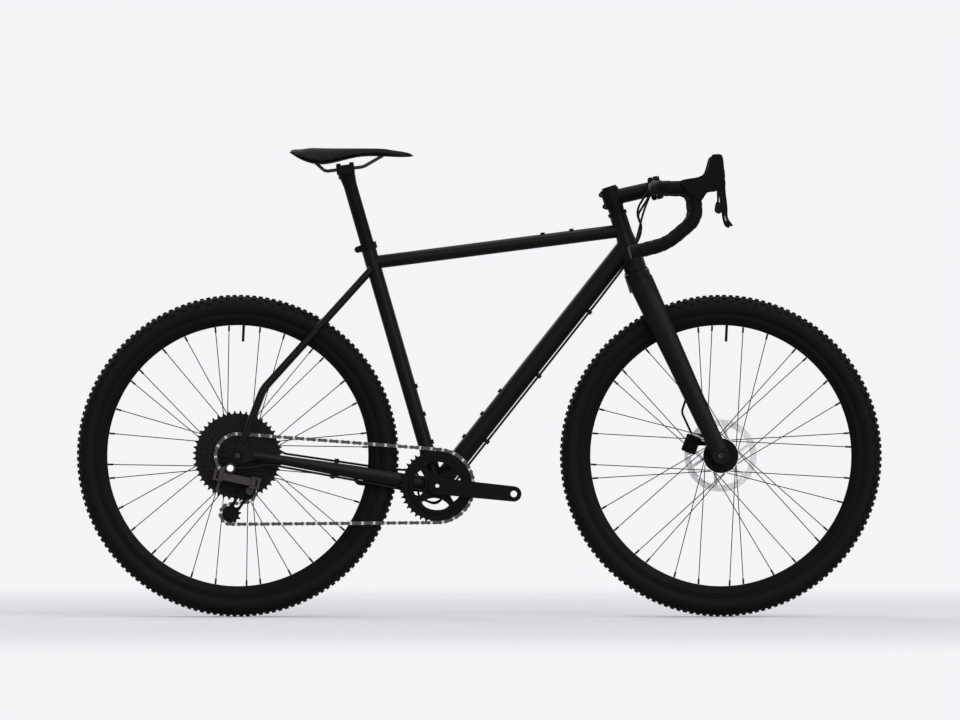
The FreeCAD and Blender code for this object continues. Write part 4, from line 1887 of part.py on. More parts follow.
def fork_plates(name, spot, web_way):
    """Two plates above and below the link ends, their pins, and a web that joins them clear of the eyes."""
    reach = size("link_half_height") + size("body_gap")
    pieces = []
    wide = S.link_inner_shift + S.link_eye_radius * 2
    middle = spot + INWARD / 2
    flat_way = Y_DIR.cross(PIN_DIR)
    for number, side in enumerate((-1, 1)):
        centre = middle + PIN_DIR * (side * (reach + size("knuckle_plate") / 2)) + flat_way * (
            web_way * size("knuckle_web_shift") / 2
        )
        pieces.append(
            block(
                "%s_plate%d" % (name, number), S.knuckle_web_shift + S.link_eye_radius * 2, wide,
                S.knuckle_plate, centre, PIN_DIR, flat_way,
            )
        )
    web_centre = middle + flat_way * (web_way * (size("knuckle_web_shift") + size("link_eye_radius") / 2))
    tall = as_quantity((reach + size("knuckle_plate")) * 2)
    pieces.append(block(name + "_back", S.link_eye_radius, wide, tall, web_centre, PIN_DIR, flat_way))
    for number, shift in enumerate((Vector(), INWARD)):
        ends = PIN_DIR * reach
        pieces.append(
            rod("%s_pin%d" % (name, number), S.link_pin_radius, spot + shift - ends, spot + shift + ends)
        )
    return pieces


knuckle_face = HANGER_FACE + S.hanger_thickness
upper_barrel = across_rod(
    "upper_barrel", S.knuckle_radius, HANGER_EYE, -(knuckle_face + S.knuckle_width), -knuckle_face,
)
neck_start = LINK_REAR + PIN_DIR * (size("link_half_height") + size("body_gap") + size("knuckle_neck_radius"))
barrel_middle = Vector(HANGER_EYE.x, -float(knuckle_face + S.knuckle_width / 2), HANGER_EYE.z)
upper_neck = rod(
    "upper_neck", S.knuckle_neck_radius, Vector(neck_start.x, barrel_middle.y, neck_start.z),
    barrel_middle,
)
arm_start = LINK_REAR + INWARD / 2 - PIN_DIR * (
    size("link_half_height") + size("body_gap") + size("knuckle_plate") / 2
)
arm_end = arm_start + Vector(-size("cable_arm_back"), 0, -size("cable_arm_length"))
cable_arm = rod("cable_arm", S.cable_arm_radius, arm_start, arm_end)
cable_barrel = rod(
    "cable_barrel", S.cable_arm_radius, arm_end - X_DIR * size("cable_arm_radius"),
    arm_end + X_DIR * (size("cable_arm_radius") * 2),
)
upper_pieces = fork_plates("upper_fork", LINK_REAR, -1) + [upper_barrel, upper_neck, cable_arm, cable_barrel]
bolt_hole = across_rod(
    "knuckle_bolt_hole", S.hanger_bolt_radius, HANGER_EYE, -(knuckle_face + S.knuckle_width),
    -knuckle_face,
)
node("derailleur_upper_knuckle", cut("upper_knuckle", fuse("upper_knuckle_blank", *upper_pieces), bolt_hole))
bolt_face = knuckle_face + S.knuckle_width
bolt_shank = across_rod("knuckle_bolt_shank", S.hanger_bolt_radius, HANGER_EYE, -bolt_face, -HANGER_FACE)
bolt_head = across_rod(
    "knuckle_bolt_head", S.knuckle_bolt_radius, HANGER_EYE, -(bolt_face + S.knuckle_bolt_height),
    -bolt_face,
)
bolt_socket = across_rod(
    "knuckle_bolt_socket", S.hanger_bolt_radius / 2, HANGER_EYE, -(bolt_face + S.knuckle_bolt_height),
    -bolt_face,
)
node("derailleur_mount_bolt", cut("mount_bolt", fuse("mount_bolt_blank", bolt_shank, bolt_head), bolt_socket))

barrel_end = outer_high - S.cage_thickness - S.body_gap
lower_barrel = across_rod(
    "lower_barrel", S.lower_barrel_radius, CAGE_PIVOT, barrel_end - S.lower_barrel_width, barrel_end,
)
stub_room = across_rod(
    "stub_room", S.cage_stub_radius + S.running_gap, CAGE_PIVOT,
    outer_high - S.cage_thickness - S.cage_stub_length - S.body_gap, outer_high,
)
lower_pieces = fork_plates("lower_fork", LINK_FRONT, 1) + [lower_barrel]
node("derailleur_lower_knuckle", cut("lower_knuckle", fuse("lower_knuckle_blank", *lower_pieces), stub_room))


# Threaded bosses on the tubes and the fork legs
def boss(name, spot, out, carrier, height):
    """A boss that stands out of a tube from inside its wall, with a threaded hole relieved at its foot."""
    top = spot + out * float(height)
    foot = spot - out * size("boss_radius")
    blank = rod(name + "_blank", S.boss_radius, foot, top)
    hole = rod(name + "_hole", S.boss_hole_radius, foot, top + out * size("cut_overrun"))
    relief = rod(name + "_relief", S.boss_relief_radius, foot, spot + out * size("boss_relief_height"))
    return cut(name, blank, carrier, hole, relief)


DOWN_OVER = DOWN_UNDER * -1
SEAT_FRONT = SEAT_BACK * -1
bosses = []
for number in range(3):
    along = size("down_boss_start") + number * size("boss_spacing")
    bosses.append(
        boss(
            "down_boss%d" % number, BB + DOWN_DIR * along + DOWN_OVER * size("down_tube_radius"),
            DOWN_OVER, down_blank, S.boss_height,
        )
    )
    along = size("seat_boss_start") + number * size("boss_spacing")
    bosses.append(
        boss(
            "seat_boss%d" % number, on_seat(along) + SEAT_FRONT * size("seat_tube_radius"), SEAT_FRONT,
            seat_blank, S.boss_height,
        )
    )
TOP_OVER = TOP_DIR.cross(Y_DIR)
for number in range(2):
    along = size("top_boss_start") + number * size("boss_spacing")
    spot = TOP_END - TOP_DIR * along
    bosses.append(
        boss(
            "top_boss%d" % number, spot + TOP_OVER * size("top_tube_radius"), TOP_OVER, top_blank,
            S.boss_height,
        )
    )
node("frame_bosses", *bosses)

# Fork: three bosses on the outer side of each leg
fork_bosses = []
middle_outer = S.leg_middle_spread + S.leg_middle_width
for number in range(3):
    share = (size("fork_boss_start") + number * size("boss_spacing")) / (LEG_TOP - FRONT_AXLE).Length
    outer = tip_outer + (middle_outer - tip_outer) * (share / MIDDLE_SHARE)
    base = leg_point(share, S.leg_middle_spread)
    top = leg_point(share, outer + S.fork_boss_height)
    blank = rod("fork_boss_blank%d" % number, S.boss_radius, base, top)
    hole = rod("fork_boss_hole%d" % number, S.boss_hole_radius, base, top - Y_DIR * size("cut_overrun"))
    right_boss = cut("fork_boss%d" % number, blank, right_leg, hole)
    fork_bosses += [right_boss, mirrored("left_fork_boss%d" % number, right_boss)]
node("fork", fork_body, *fork_bosses)


# Hoses: runs held under the down tube and along the chainstays, ports at the head tube
HOSE_OFF = size("hose_radius") + size("hose_gap")
STAY_OVER = Y_DIR.cross(STAY_NORMAL)


def under_down(distance, side):
    spot = BB + DOWN_DIR * float(distance) + DOWN_UNDER * (size("down_tube_radius") + HOSE_OFF)
    return Vector(spot.x, float(side), spot.z)


def by_stay(distance, side, spread, tall):
    """A place over or under the stay's axis, side 1 over, -1 under."""
    spot = stay_point(distance, spread) + STAY_OVER * (side * (float(tall) + HOSE_OFF))
    return spot


def port(side):
    return on_steer(HEAD_LOW + size("port_height")) + STEER_AHEAD * size("port_ahead") + Y_DIR * (
        side * size("port_spread")
    )


def port_foot(side):
    return on_steer(HEAD_LOW + size("port_foot_height")) - STEER_AHEAD * size("port_foot_back") + Y_DIR * (
        side * size("port_spread")
    )


def on_left(spot):
    return Vector(spot.x, -spot.y, spot.z)


shell_low = BB + DOWN_UNDER * (size("down_tube_radius") + HOSE_OFF) - DOWN_DIR * size("hose_shell_pass")
hose_spread = S.hose_spread
stay_start = by_stay(S.stay_belly_distance, -1, S.stay_belly_spread, S.stay_belly_height)
stay_last = by_stay(S.housing_stay_distance, -1, S.housing_stay_spread, S.stay_end_height)
barrel_front = barrel_middle + X_DIR * size("knuckle_radius")
housing_points = (
    port(-1), port_foot(-1), under_down(S.hose_gather_distance, -hose_spread),
    Vector(shell_low.x, -size("hose_spread"), shell_low.z), stay_start, stay_last,
    barrel_front + X_DIR * size("housing_lead"), barrel_middle,
)
housing_bends = (
    S.hose_bend, S.hose_bend, S.hose_shell_bend, S.hose_bend, S.hose_bend, S.hose_tight_bend,
)
housing_full = pipe("shift_housing_full", S.hose_radius, housing_points, housing_bends)
shift_housing = cut("shift_housing", housing_full, upper_barrel)
rise_low = BB + Vector(-size("hose_rise_back"), size("hose_spread"), -size("hose_rise_low"))
rise_top = BB + Vector(-size("hose_rise_back"), size("hose_rise_spread"), size("hose_rise_high"))
over_start = on_left(by_stay(S.hose_stay_start, 1, S.hose_stay_start_spread, S.stay_belly_height))
over_end = on_left(by_stay(S.hose_stay_end, 1, S.hose_stay_end_spread, S.hose_stay_end_height))
caliper_end = REAR_AXLE + Vector(size("hose_end_ahead"), size("hose_end_spread"), size("hose_end_rise"))
brake_points = (
    port(1), port_foot(1), under_down(S.hose_gather_distance, hose_spread),
    Vector(shell_low.x, size("hose_spread"), shell_low.z), rise_low, rise_top, over_start, over_end,
    caliper_end,
)
brake_bends = (
    S.hose_bend, S.hose_bend, S.hose_tight_bend, S.hose_tight_bend, S.hose_tight_bend, S.hose_tight_bend,
    S.hose_tight_bend,
)
rear_hose_full = pipe("rear_hose_full", S.hose_radius, brake_points, brake_bends)
rear_hose = cut("rear_hose", rear_hose_full, rear_caliper_blank)

# Clips hold the hoses on the tubes
clips = []


def clip(name, spot, heading, out, wide, tall, hoses, tubes):
    made = block(name + "_block", S.clip_length, wide, tall, spot, out, heading)
    clips.append(cut(name, made, *(tuple(hoses) + tuple(tubes))))


clip_width = S.hose_spread * 2 + (S.hose_radius + S.clip_wall) * 2
clip_height = S.hose_radius * 2 + S.hose_gap * 2 + S.clip_wall * 2
CLIP_PLACES = (S.clip_low_distance, S.clip_middle_distance, S.clip_high_distance)
for number, distance in enumerate(CLIP_PLACES):
    clip(
        "down_clip%d" % number, under_down(distance, 0), DOWN_DIR, DOWN_UNDER, clip_width, clip_height,
        (housing_full, rear_hose_full), (down_blank,),
    )
single_width = (S.hose_radius + S.clip_wall) * 2
over_clip = over_start + (over_end - over_start) / 2
clip(
    "over_clip", over_clip, (over_end - over_start).normalize(), STAY_OVER, single_width, clip_height,
    (rear_hose_full,), (left_chainstay,),
)
under_clip = stay_start + (stay_last - stay_start) / 2
clip(
    "under_clip", under_clip, (stay_last - stay_start).normalize(), STAY_OVER, single_width, clip_height,
    (housing_full,), (right_chainstay,),
)
for name, side, hose in (("left_port", 1, rear_hose_full), ("right_port", -1, housing_full)):
    middle = port(side) + (port_foot(side) - port(side)) / 2 - Y_DIR * (side * size("port_clip_inset"))
    clip(
        name, middle, (port_foot(side) - port(side)).normalize(), Y_DIR, single_width, S.port_clip_height,
        (hose,), (head_blank, down_blank),
    )
node("frame_hoses", shift_housing, rear_hose, *clips)


# Loops from the bars to the head tube, and the front brake's hose down the fork
def at_tape(side, back_share, down_share):
    reach = size("bar_grip_radius") + size("body_gap") + size("hose_radius")
    side_reach = size("tape_start") - size("hose_radius")
    return BAR + Vector(-back_share * reach, side * side_reach, -down_share * reach)


def lead(spot, foot):
    return spot + (spot - foot).normalize() * size("loop_lead")


LOOP_SHARES = ((0.6, 0.8), (0.954, 0.3))
brake_start = at_tape(-1, *LOOP_SHARES[0])
brake_loop_points = (
    brake_start, brake_start + Vector(-size("loop_back"), size("loop_across"), -size("loop_drop")),
    lead(port(1), port_foot(1)), port(1),
)
LOOP_BENDS = (S.loop_bend, S.loop_low_bend)
brake_loop = pipe("rear_brake_loop", S.hose_radius, brake_loop_points, LOOP_BENDS)
shift_start = at_tape(-1, *LOOP_SHARES[1])
shift_loop_points = (
    shift_start, shift_start + Vector(-size("loop_back"), size("loop_shift_across"), -size("loop_drop")),
    lead(port(-1), port_foot(-1)), port(-1),
)
shift_loop = pipe("shift_loop", S.hose_radius, shift_loop_points, LOOP_BENDS)
node("steering_loops", brake_loop, shift_loop)
front_start = at_tape(1, *LOOP_SHARES[0])
crown_port = CROWN_TOP - STEER_DIR * size("crown_port_drop") + STEER_AHEAD * size("crown_port_ahead")
crown_port = Vector(crown_port.x, size("crown_port_spread"), crown_port.z)
front_loop_points = (
    front_start,
    front_start + Vector(-size("loop_front_back"), -size("loop_front_across"), -size("loop_front_drop")),
    crown_port + STEER_DIR * size("crown_port_lead"), crown_port,
)
front_loop = cut(
    "front_loop", pipe("front_loop_full", S.hose_radius, front_loop_points, LOOP_BENDS), left_leg, crown,
)
front_pad = FRONT_AXLE + Vector(
    -size("front_hose_end_back"), size("front_hose_end_spread"), size("front_hose_end_rise"),
)
front_exit = FRONT_AXLE + Vector(
    -size("front_hose_exit_back"), size("front_hose_exit_spread"), size("front_hose_exit_rise"),
)
front_knee = FRONT_AXLE + Vector(
    -size("front_hose_knee_back"), size("front_hose_exit_spread"), size("front_hose_knee_rise"),
)
front_low_points = (front_exit, front_knee, front_pad)
front_low = pipe("front_low_full", S.hose_radius, front_low_points, (S.hose_tight_bend,))
node("front_brake_hose", front_loop, cut("front_low", front_low, left_leg, front_caliper_blank))

# Bolts of the stem and the top cap
node("cockpit_bolts", cap_bolt, *(pinch_bolts + face_bolts))



doc.recompute()
faults = []
for item in doc.Objects:
    if "Invalid" in item.State or "Error" in item.State:
        faults.append("%s: %s" % (item.Label, item.State))
for label, item in NODES.items():
    if item.Shape.isNull() or not item.Shape.isValid() or not item.Shape.Solids:
        faults.append("%s has no valid solid" % label)
if faults:
    raise RuntimeError("\n".join(faults))
os.makedirs("parts", exist_ok=True)
for label, item in NODES.items():
    item.Shape.exportStep("parts/%s.step" % label)
    print(label, len(item.Shape.Solids), round(item.Shape.Volume))
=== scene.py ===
"""A matte black gravel bike: finishes, bar tape, saddle pad, hose loops and chain on the solids."""

import json
import math

import bmesh
import bpy
from bpy.props import FloatProperty, FloatVectorProperty, PointerProperty
from mathutils import Matrix, Vector
from mathutils.geometry import intersect_point_line


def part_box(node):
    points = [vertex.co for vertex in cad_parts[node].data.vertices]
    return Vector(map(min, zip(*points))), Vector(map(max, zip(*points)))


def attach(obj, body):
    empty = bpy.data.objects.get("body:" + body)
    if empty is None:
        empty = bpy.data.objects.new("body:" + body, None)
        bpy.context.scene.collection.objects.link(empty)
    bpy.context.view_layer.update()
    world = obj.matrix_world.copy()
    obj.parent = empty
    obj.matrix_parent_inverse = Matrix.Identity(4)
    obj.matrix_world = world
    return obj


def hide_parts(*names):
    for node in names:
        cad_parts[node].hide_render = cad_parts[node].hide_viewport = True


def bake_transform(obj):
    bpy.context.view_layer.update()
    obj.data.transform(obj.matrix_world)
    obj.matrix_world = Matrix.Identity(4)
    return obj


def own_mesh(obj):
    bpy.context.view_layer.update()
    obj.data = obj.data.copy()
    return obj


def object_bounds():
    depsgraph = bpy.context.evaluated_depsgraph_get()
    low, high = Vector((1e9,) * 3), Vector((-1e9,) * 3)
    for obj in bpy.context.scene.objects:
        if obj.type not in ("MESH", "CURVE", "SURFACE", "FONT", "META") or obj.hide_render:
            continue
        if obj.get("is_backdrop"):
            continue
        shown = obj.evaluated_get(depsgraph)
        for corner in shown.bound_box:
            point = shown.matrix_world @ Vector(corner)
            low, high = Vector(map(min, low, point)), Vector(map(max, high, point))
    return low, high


bl_info = {
    "name": "Gravel bike dressing",
    "version": (1, 0, 0),
    "blender": (4, 5, 0),
    "location": "View3D > Sidebar > Gravel Bike",
    "description": "Dresses a drop-bar gravel bike: paint, rubber, bar tape, saddle, hoses and chain",
    "category": "Object",
}

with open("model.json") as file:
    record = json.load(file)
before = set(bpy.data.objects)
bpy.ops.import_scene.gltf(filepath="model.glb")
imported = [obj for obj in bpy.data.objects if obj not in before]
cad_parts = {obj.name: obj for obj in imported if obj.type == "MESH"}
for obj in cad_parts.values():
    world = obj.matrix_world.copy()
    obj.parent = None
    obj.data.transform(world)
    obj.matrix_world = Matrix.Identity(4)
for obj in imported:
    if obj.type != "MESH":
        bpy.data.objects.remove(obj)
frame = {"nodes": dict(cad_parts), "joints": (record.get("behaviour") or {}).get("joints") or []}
CAD_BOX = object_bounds()


def middle_of(node):
    return sum(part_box(node), Vector()) / 2


# Places on the bike, in metres
REAR_AXLE = middle_of("rear_hub")
FRONT_AXLE = middle_of("front_hub")
BAR_CLAMP = Vector((0.388098, 0.0, 0.947467))

# Corners of the taped stretch from the bar's clamp, as ahead, out and drop, with the bends between them
TAPE_CORNERS = (
    (0.0, 0.096, 0.0), (0.0, 0.202, 0.0), (0.083, 0.206, 0.002), (0.09, 0.211, 0.069),
    (0.026, 0.221, 0.123), (-0.055, 0.232, 0.144),
)
TAPE_BENDS = (0.042, 0.029, 0.046, 0.11)
TAPE_SEGMENTS = 36
RINGS_PER_WRAP = 12
BAND_LAP = 0.9
BAR_CLEARANCE = 0.0001

# Radii of the tyre's side wall and tread, and where a chain's outer plates begin beside its line
WALL_RADIUS = 0.338
TREAD_RADIUS = 0.349
OUTER_PLATE = 0.0021

# Links this near the line between the pulleys are wrapped round them.
# The return run lies this far below the tension pulley's axle, and starts this far behind it.
WRAP_REACH = 0.0245
RETURN_DROP = 0.015
WRAP_END = 0.002
SHARP_EDGE = math.radians(35.0)

# The pad's relaxing and its inflation
RELAX_STEPS = 3
FOAM_PRESSURE = 4.0
FOAM_FRAMES = 20

# The floor of an axle's key socket
SOCKET_RADIUS = 0.0029
SOCKET_LENGTH = 0.006
SOCKET_DEPTH = 0.012
SOCKET_BEVEL = 0.0003

# Floor, light and camera
FLOOR_FADE = 0.5
FLOOR_EDGE = 5.0
FILL_LIGHT = 0.12
FILL_COLOUR = (0.95, 0.96, 1.0, 1.0)
LAMP_SPREAD = 50.0
LAMP_AIM = Vector((0.0, 0.0, 0.5))
CAMERA_FAR = 36.0
CAMERA_SEEN = 2.1228
CAMERA_ASIDE = 0.0015
CAMERA_HEIGHT = 0.5676


# Sizes and colours a user would change

class TapeSizes(bpy.types.PropertyGroup):
    pitch: FloatProperty(
        name="Wrap pitch", description="How far the tape moves along the bar in one turn",
        default=0.021, unit="LENGTH",
    )
    lap: FloatProperty(
        name="Lap height", description="How far the edge of each wrap stands over the last one",
        default=0.0011, unit="LENGTH",
    )
    radius: FloatProperty(
        name="Outer radius", description="Radius over the wrapped bar",
        default=0.01545, unit="LENGTH",
    )
    bar_radius: FloatProperty(
        name="Bar radius", description="Radius of the bare grip section",
        default=0.0119, unit="LENGTH",
    )
    band: FloatProperty(
        name="Finishing band", description="Length of the smooth band that ends the wrap near the stem",
        default=0.015, unit="LENGTH",
    )


class SaddleSizes(bpy.types.PropertyGroup):
    voxel: FloatProperty(
        name="Voxel", description="Mesh size of the pad before it is inflated",
        default=0.004, unit="LENGTH",
    )
    swell: FloatProperty(
        name="Swell", description="Most that the pad may stand proud of its base form",
        default=0.002, unit="LENGTH",
    )


class BikeColours(bpy.types.PropertyGroup):
    paint: FloatVectorProperty(
        name="Paint", description="Frame and fork paint", subtype="COLOR", size=3,
        default=(0.0019, 0.0019, 0.002),
    )
    anodised: FloatVectorProperty(
        name="Anodised", description="Black anodised parts", subtype="COLOR", size=3,
        default=(0.0015, 0.0015, 0.0016),
    )
    rubber: FloatVectorProperty(
        name="Tyre rubber", description="Tyres", subtype="COLOR", size=3,
        default=(0.0032, 0.0025, 0.0025),
    )
    chain: FloatVectorProperty(
        name="Chain", description="Dark plated chain", subtype="COLOR", size=3,
        default=(0.056, 0.046, 0.045),
    )
    backdrop: FloatVectorProperty(
        name="Floor paper", description="Paper under the bike", subtype="COLOR", size=3,
        default=(0.83, 0.83, 0.87),
    )
    background: FloatVectorProperty(
        name="Background", description="Pale surroundings, as the lens sees them",
        subtype="COLOR", size=3, default=(0.905, 0.91, 0.93),
    )


# Shader sums

class Flow:
    """A shader socket that takes part in sums."""

    def __init__(self, finish, socket):
        self.finish = finish
        self.socket = socket

    def sum_with(self, operation, first, second):
        node = self.finish.node("ShaderNodeMath", {"operation": operation}, {0: first, 1: second})
        return Flow(self.finish, node.outputs[0])

    def __add__(self, other):
        return self.sum_with("ADD", self, other)

    __radd__ = __add__

    def __sub__(self, other):
        return self.sum_with("SUBTRACT", self, other)

    def __rsub__(self, other):
        return self.sum_with("SUBTRACT", other, self)

    def __mul__(self, other):
        return self.sum_with("MULTIPLY", self, other)

    __rmul__ = __mul__

    def __pow__(self, other):
        return self.sum_with("POWER", self, other)

    def above(self, other):
        return self.sum_with("GREATER_THAN", self, other)


class Finish:
    """One surface finish and the nodes that make it."""

    def __init__(self, name):
        self.material = bpy.data.materials.new(name)
        self.material.use_nodes = True
        self.tree = self.material.node_tree
        self.tree.nodes.clear()
        self.surface = self.tree.nodes.new("ShaderNodeBsdfPrincipled")
        self.output = self.tree.nodes.new("ShaderNodeOutputMaterial")
        self.tree.links.new(self.surface.outputs[0], self.output.inputs[0])

    def feed(self, socket, value):
        if isinstance(value, Flow):
            self.tree.links.new(value.socket, socket)
        elif isinstance(value, bpy.types.NodeSocket):
            self.tree.links.new(value, socket)
        else:
            socket.default_value = value

    def node(self, kind, settings=None, values=None):
        made = self.tree.nodes.new(kind)
        for name, value in (settings or {}).items():
            setattr(made, name, value)
        for name, value in (values or {}).items():
            self.feed(made.inputs[name], value)
        return made

    def set(self, **values):
        for name, value in values.items():
            self.feed(self.surface.inputs[name.replace("_", " ")], value)
        return self

    def place(self, centre=None):
        spot = self.node("ShaderNodeTexCoord").outputs["Object"]
        if centre is None:
            return spot
        back = tuple(-value for value in centre)
        return self.node("ShaderNodeMapping", None, {"Vector": spot, "Location": back}).outputs[0]

    def noise(self, spot, scale, detail=3.0, roughness=0.5):
        values = {"Vector": spot, "Scale": scale, "Detail": detail, "Roughness": roughness}
        return Flow(self, self.node("ShaderNodeTexNoise", None, values).outputs[0])

    def cells(self, spot, scale, feature="F1"):
        values = {"Vector": spot, "Scale": scale}
        return Flow(self, self.node("ShaderNodeTexVoronoi", {"feature": feature}, values).outputs[0])

    def mix(self, share, first, second):
        made = self.node("ShaderNodeMix", {"data_type": "RGBA"})
        self.feed(made.inputs[0], share)
        self.feed(made.inputs[6], (*first, 1.0) if isinstance(first, tuple) else first)
        self.feed(made.inputs[7], (*second, 1.0) if isinstance(second, tuple) else second)
        return made.outputs[2]

    def falling(self, value, start, end):
        """One up to the start, easing to zero at the end."""
        settings = {"interpolation_type": "SMOOTHSTEP"}
        values = {0: value, 1: start, 2: end, 3: 1.0, 4: 0.0}
        return Flow(self, self.node("ShaderNodeMapRange", settings, values).outputs[0])

    def bump(self, height, distance, strength=1.0):
        values = {"Height": height, "Distance": distance, "Strength": strength}
        return self.node("ShaderNodeBump", None, values).outputs[0]

    def about_axle(self, centre):
        """Distance from a wheel's axle, and the place turned into that distance."""
        spot = self.place(centre)
        flat = self.node("ShaderNodeVectorMath", {"operation": "MULTIPLY"}, {0: spot, 1: (1.0, 0.0, 1.0)})
        far = self.node("ShaderNodeVectorMath", {"operation": "LENGTH"}, {0: flat.outputs[0]})
        return spot, Flow(self, far.outputs[1])


def lighter(colour, factor):
    return tuple(value * factor for value in colour)


# Finishes of the bike's surfaces

def matte_paint(name, colour):
    made = Finish(name)
    spot = made.place()
    cloud = made.noise(spot, 9.0, 4.0)
    grain = made.noise(spot, 2600.0, 2.0)
    scuff = made.noise(spot, 60.0, 6.0, 0.7)
    shade = made.mix(cloud, colour, lighter(colour, 1.7))
    dusty = made.mix(scuff ** 4.0 * 0.5, shade, lighter(colour, 4.0))
    made.set(Base_Color=dusty, Roughness=0.33 + grain * 0.06 + scuff * 0.1, Specular_IOR_Level=0.09)
    made.set(Normal=made.bump(grain, 0.000012, 0.5))
    return made.material


def anodised(name, colour, rough=0.36, brightness=2.0):
    made = Finish(name)
    spot = made.place()
    grain = made.noise(spot, 1800.0, 2.0)
    handling = made.noise(spot, 45.0, 5.0, 0.65)
    shade = made.mix(handling, colour, lighter(colour, brightness))
    made.set(
        Base_Color=shade, Roughness=rough + handling * 0.12 + grain * 0.06, Specular_IOR_Level=0.06,
    )
    made.set(Normal=made.bump(grain, 0.000012, 0.4))
    return made.material


def plated_steel(name, colour, rough=0.34):
    made = Finish(name)
    spot = made.place()
    oil = made.noise(spot, 120.0, 5.0, 0.6)
    fine = made.noise(spot, 1500.0, 2.0)
    shade = made.mix(oil, colour, lighter(colour, 2.2))
    made.set(Base_Color=shade, Roughness=rough + oil * 0.16, Metallic=0.9)
    made.set(Normal=made.bump(fine, 0.00002, 0.5))
    return made.material


def chain_plating(name, colour, line):
    """Grey outer plates over bright inner plates and rollers, told apart by how far out they stand."""
    made = Finish(name)
    spot = made.place((0.0, line, 0.0))
    across = Flow(made, made.node("ShaderNodeSeparateXYZ", None, {0: spot}).outputs[1])
    out = Flow(made, made.node("ShaderNodeMath", {"operation": "ABSOLUTE"}, {0: across}).outputs[0])
    outer = out.above(OUTER_PLATE)
    oil = made.noise(spot, 140.0, 5.0, 0.6)
    bright = made.mix(oil, (0.72, 0.71, 0.7), (0.5, 0.48, 0.47))
    grey = made.mix(oil, lighter(colour, 0.7), lighter(colour, 1.4))
    shade = made.mix(outer, bright, grey)
    made.set(Base_Color=shade, Roughness=0.3 + oil * 0.2, Metallic=0.3 + outer * 0.2)
    made.set(Normal=made.bump(oil, 0.00003, 0.4))
    return made.material


def ground_disc(name, colour, centre):
    made = Finish(name)
    spot, radius = made.about_axle(centre)
    lines = Flow(made, made.node("ShaderNodeTexNoise", {"noise_dimensions": "1D"},
                                 {"W": radius * 5200.0, "Detail": 2.0}).outputs[0])
    heat = made.noise(spot, 35.0, 3.0)
    shade = made.mix(heat, colour, lighter(colour, 0.8))
    made.set(Base_Color=shade, Roughness=0.3 + lines * 0.2, Metallic=0.25)
    made.set(Normal=made.bump(lines, 0.00002, 0.6))
    return made.material


def tyre_rubber(name, colour, centre):
    made = Finish(name)
    spot, radius = made.about_axle(centre)
    fine = made.noise(spot, 900.0, 4.0, 0.6)
    dust = made.noise(spot, 38.0, 5.0, 0.65)
    rings = Flow(made, made.node("ShaderNodeMath", {"operation": "SINE"},
                                 {0: radius * 2600.0}).outputs[0])
    wall = 1.0 - radius.above(WALL_RADIUS)
    tread = radius.above(TREAD_RADIUS)
    shade = made.mix(dust ** 3.0, colour, lighter(colour, 2.6))
    worn = made.mix(tread * dust * 0.6, shade, lighter(colour, 3.0))
    made.set(Base_Color=worn, Roughness=0.56 + dust * 0.16, Specular_IOR_Level=0.08)
    made.set(Normal=made.bump(fine * 0.5 + rings * wall * 0.35, 0.00012, 0.7))
    return made.material


def ribbed_rubber(name, colour):
    made = Finish(name)
    spot = made.place()
    dots = made.cells(spot, 620.0)
    fine = made.noise(spot, 1900.0, 3.0)
    shine = made.noise(spot, 40.0, 4.0)
    shade = made.mix(shine, colour, lighter(colour, 1.9))
    made.set(Base_Color=shade, Roughness=0.52 + shine * 0.14, Specular_IOR_Level=0.06)
    made.set(Normal=made.bump(dots * 0.7 + fine * 0.3, 0.0003, 0.6))
    return made.material


def moulded_plastic(name, colour, rough=0.48):
    made = Finish(name)
    spot = made.place()
    grain = made.cells(spot, 1500.0)
    cloud = made.noise(spot, 70.0, 4.0)
    shade = made.mix(cloud, colour, lighter(colour, 1.8))
    made.set(Base_Color=shade, Roughness=rough + cloud * 0.12, Specular_IOR_Level=0.08)
    made.set(Normal=made.bump(grain, 0.00008, 0.5))
    return made.material


def saddle_skin(name, colour):
    made = Finish(name)
    spot = made.place()
    pebble = made.cells(spot, 700.0)
    crease = made.cells(spot, 260.0, "DISTANCE_TO_EDGE")
    wear = made.noise(spot, 22.0, 4.0)
    shade = made.mix(wear, colour, lighter(colour, 2.1))
    made.set(Base_Color=shade, Roughness=0.5 + wear * 0.14, Specular_IOR_Level=0.05)
    made.set(Normal=made.bump(pebble * 0.5 + crease * 1.5, 0.00018, 0.6))
    return made.material


def wrapped_tape(name, colour):
    made = Finish(name)
    spot = made.place()
    lap = Flow(made, made.node("ShaderNodeAttribute", {"attribute_name": "lap"}).outputs["Fac"])
    foam = made.noise(spot, 1400.0, 4.0, 0.6)
    holes = made.cells(spot, 420.0)
    hand = made.noise(spot, 30.0, 4.0)
    shade = made.mix(hand, colour, lighter(colour, 1.8))
    edge = made.mix(lap ** 6.0, shade, lighter(colour, 2.8))
    made.set(Base_Color=edge, Roughness=0.54 + hand * 0.16, Specular_IOR_Level=0.06)
    made.set(Normal=made.bump(foam * 0.5 + holes * 0.5, 0.0002, 0.6))
    return made.material


# Building helpers

def as_piece(name, mesh_maker, finish, smooth=True):
    """A new piece at the origin, from a filled bmesh."""
    mesh = bpy.data.meshes.new(name)
    mesh_maker.normal_update()
    mesh_maker.to_mesh(mesh)
    mesh_maker.free()
    if smooth:
        mesh.shade_smooth()
    mesh.materials.append(finish)
    made = bpy.data.objects.new(name, mesh)
    bpy.context.scene.collection.objects.link(made)
    return made


def node_copy(name):
    """The merged mesh of a solid, as a bmesh."""
    work = bmesh.new()
    work.from_mesh(frame["nodes"][name].data)
    bmesh.ops.remove_doubles(work, verts=work.verts, dist=0.00001)
    return work


def dress(material, *nodes):
    for name in nodes:
        node = frame["nodes"][name]
        node.data.materials.clear()
        node.data.materials.append(material)


def look():
    return bpy.context.scene.bike_colours


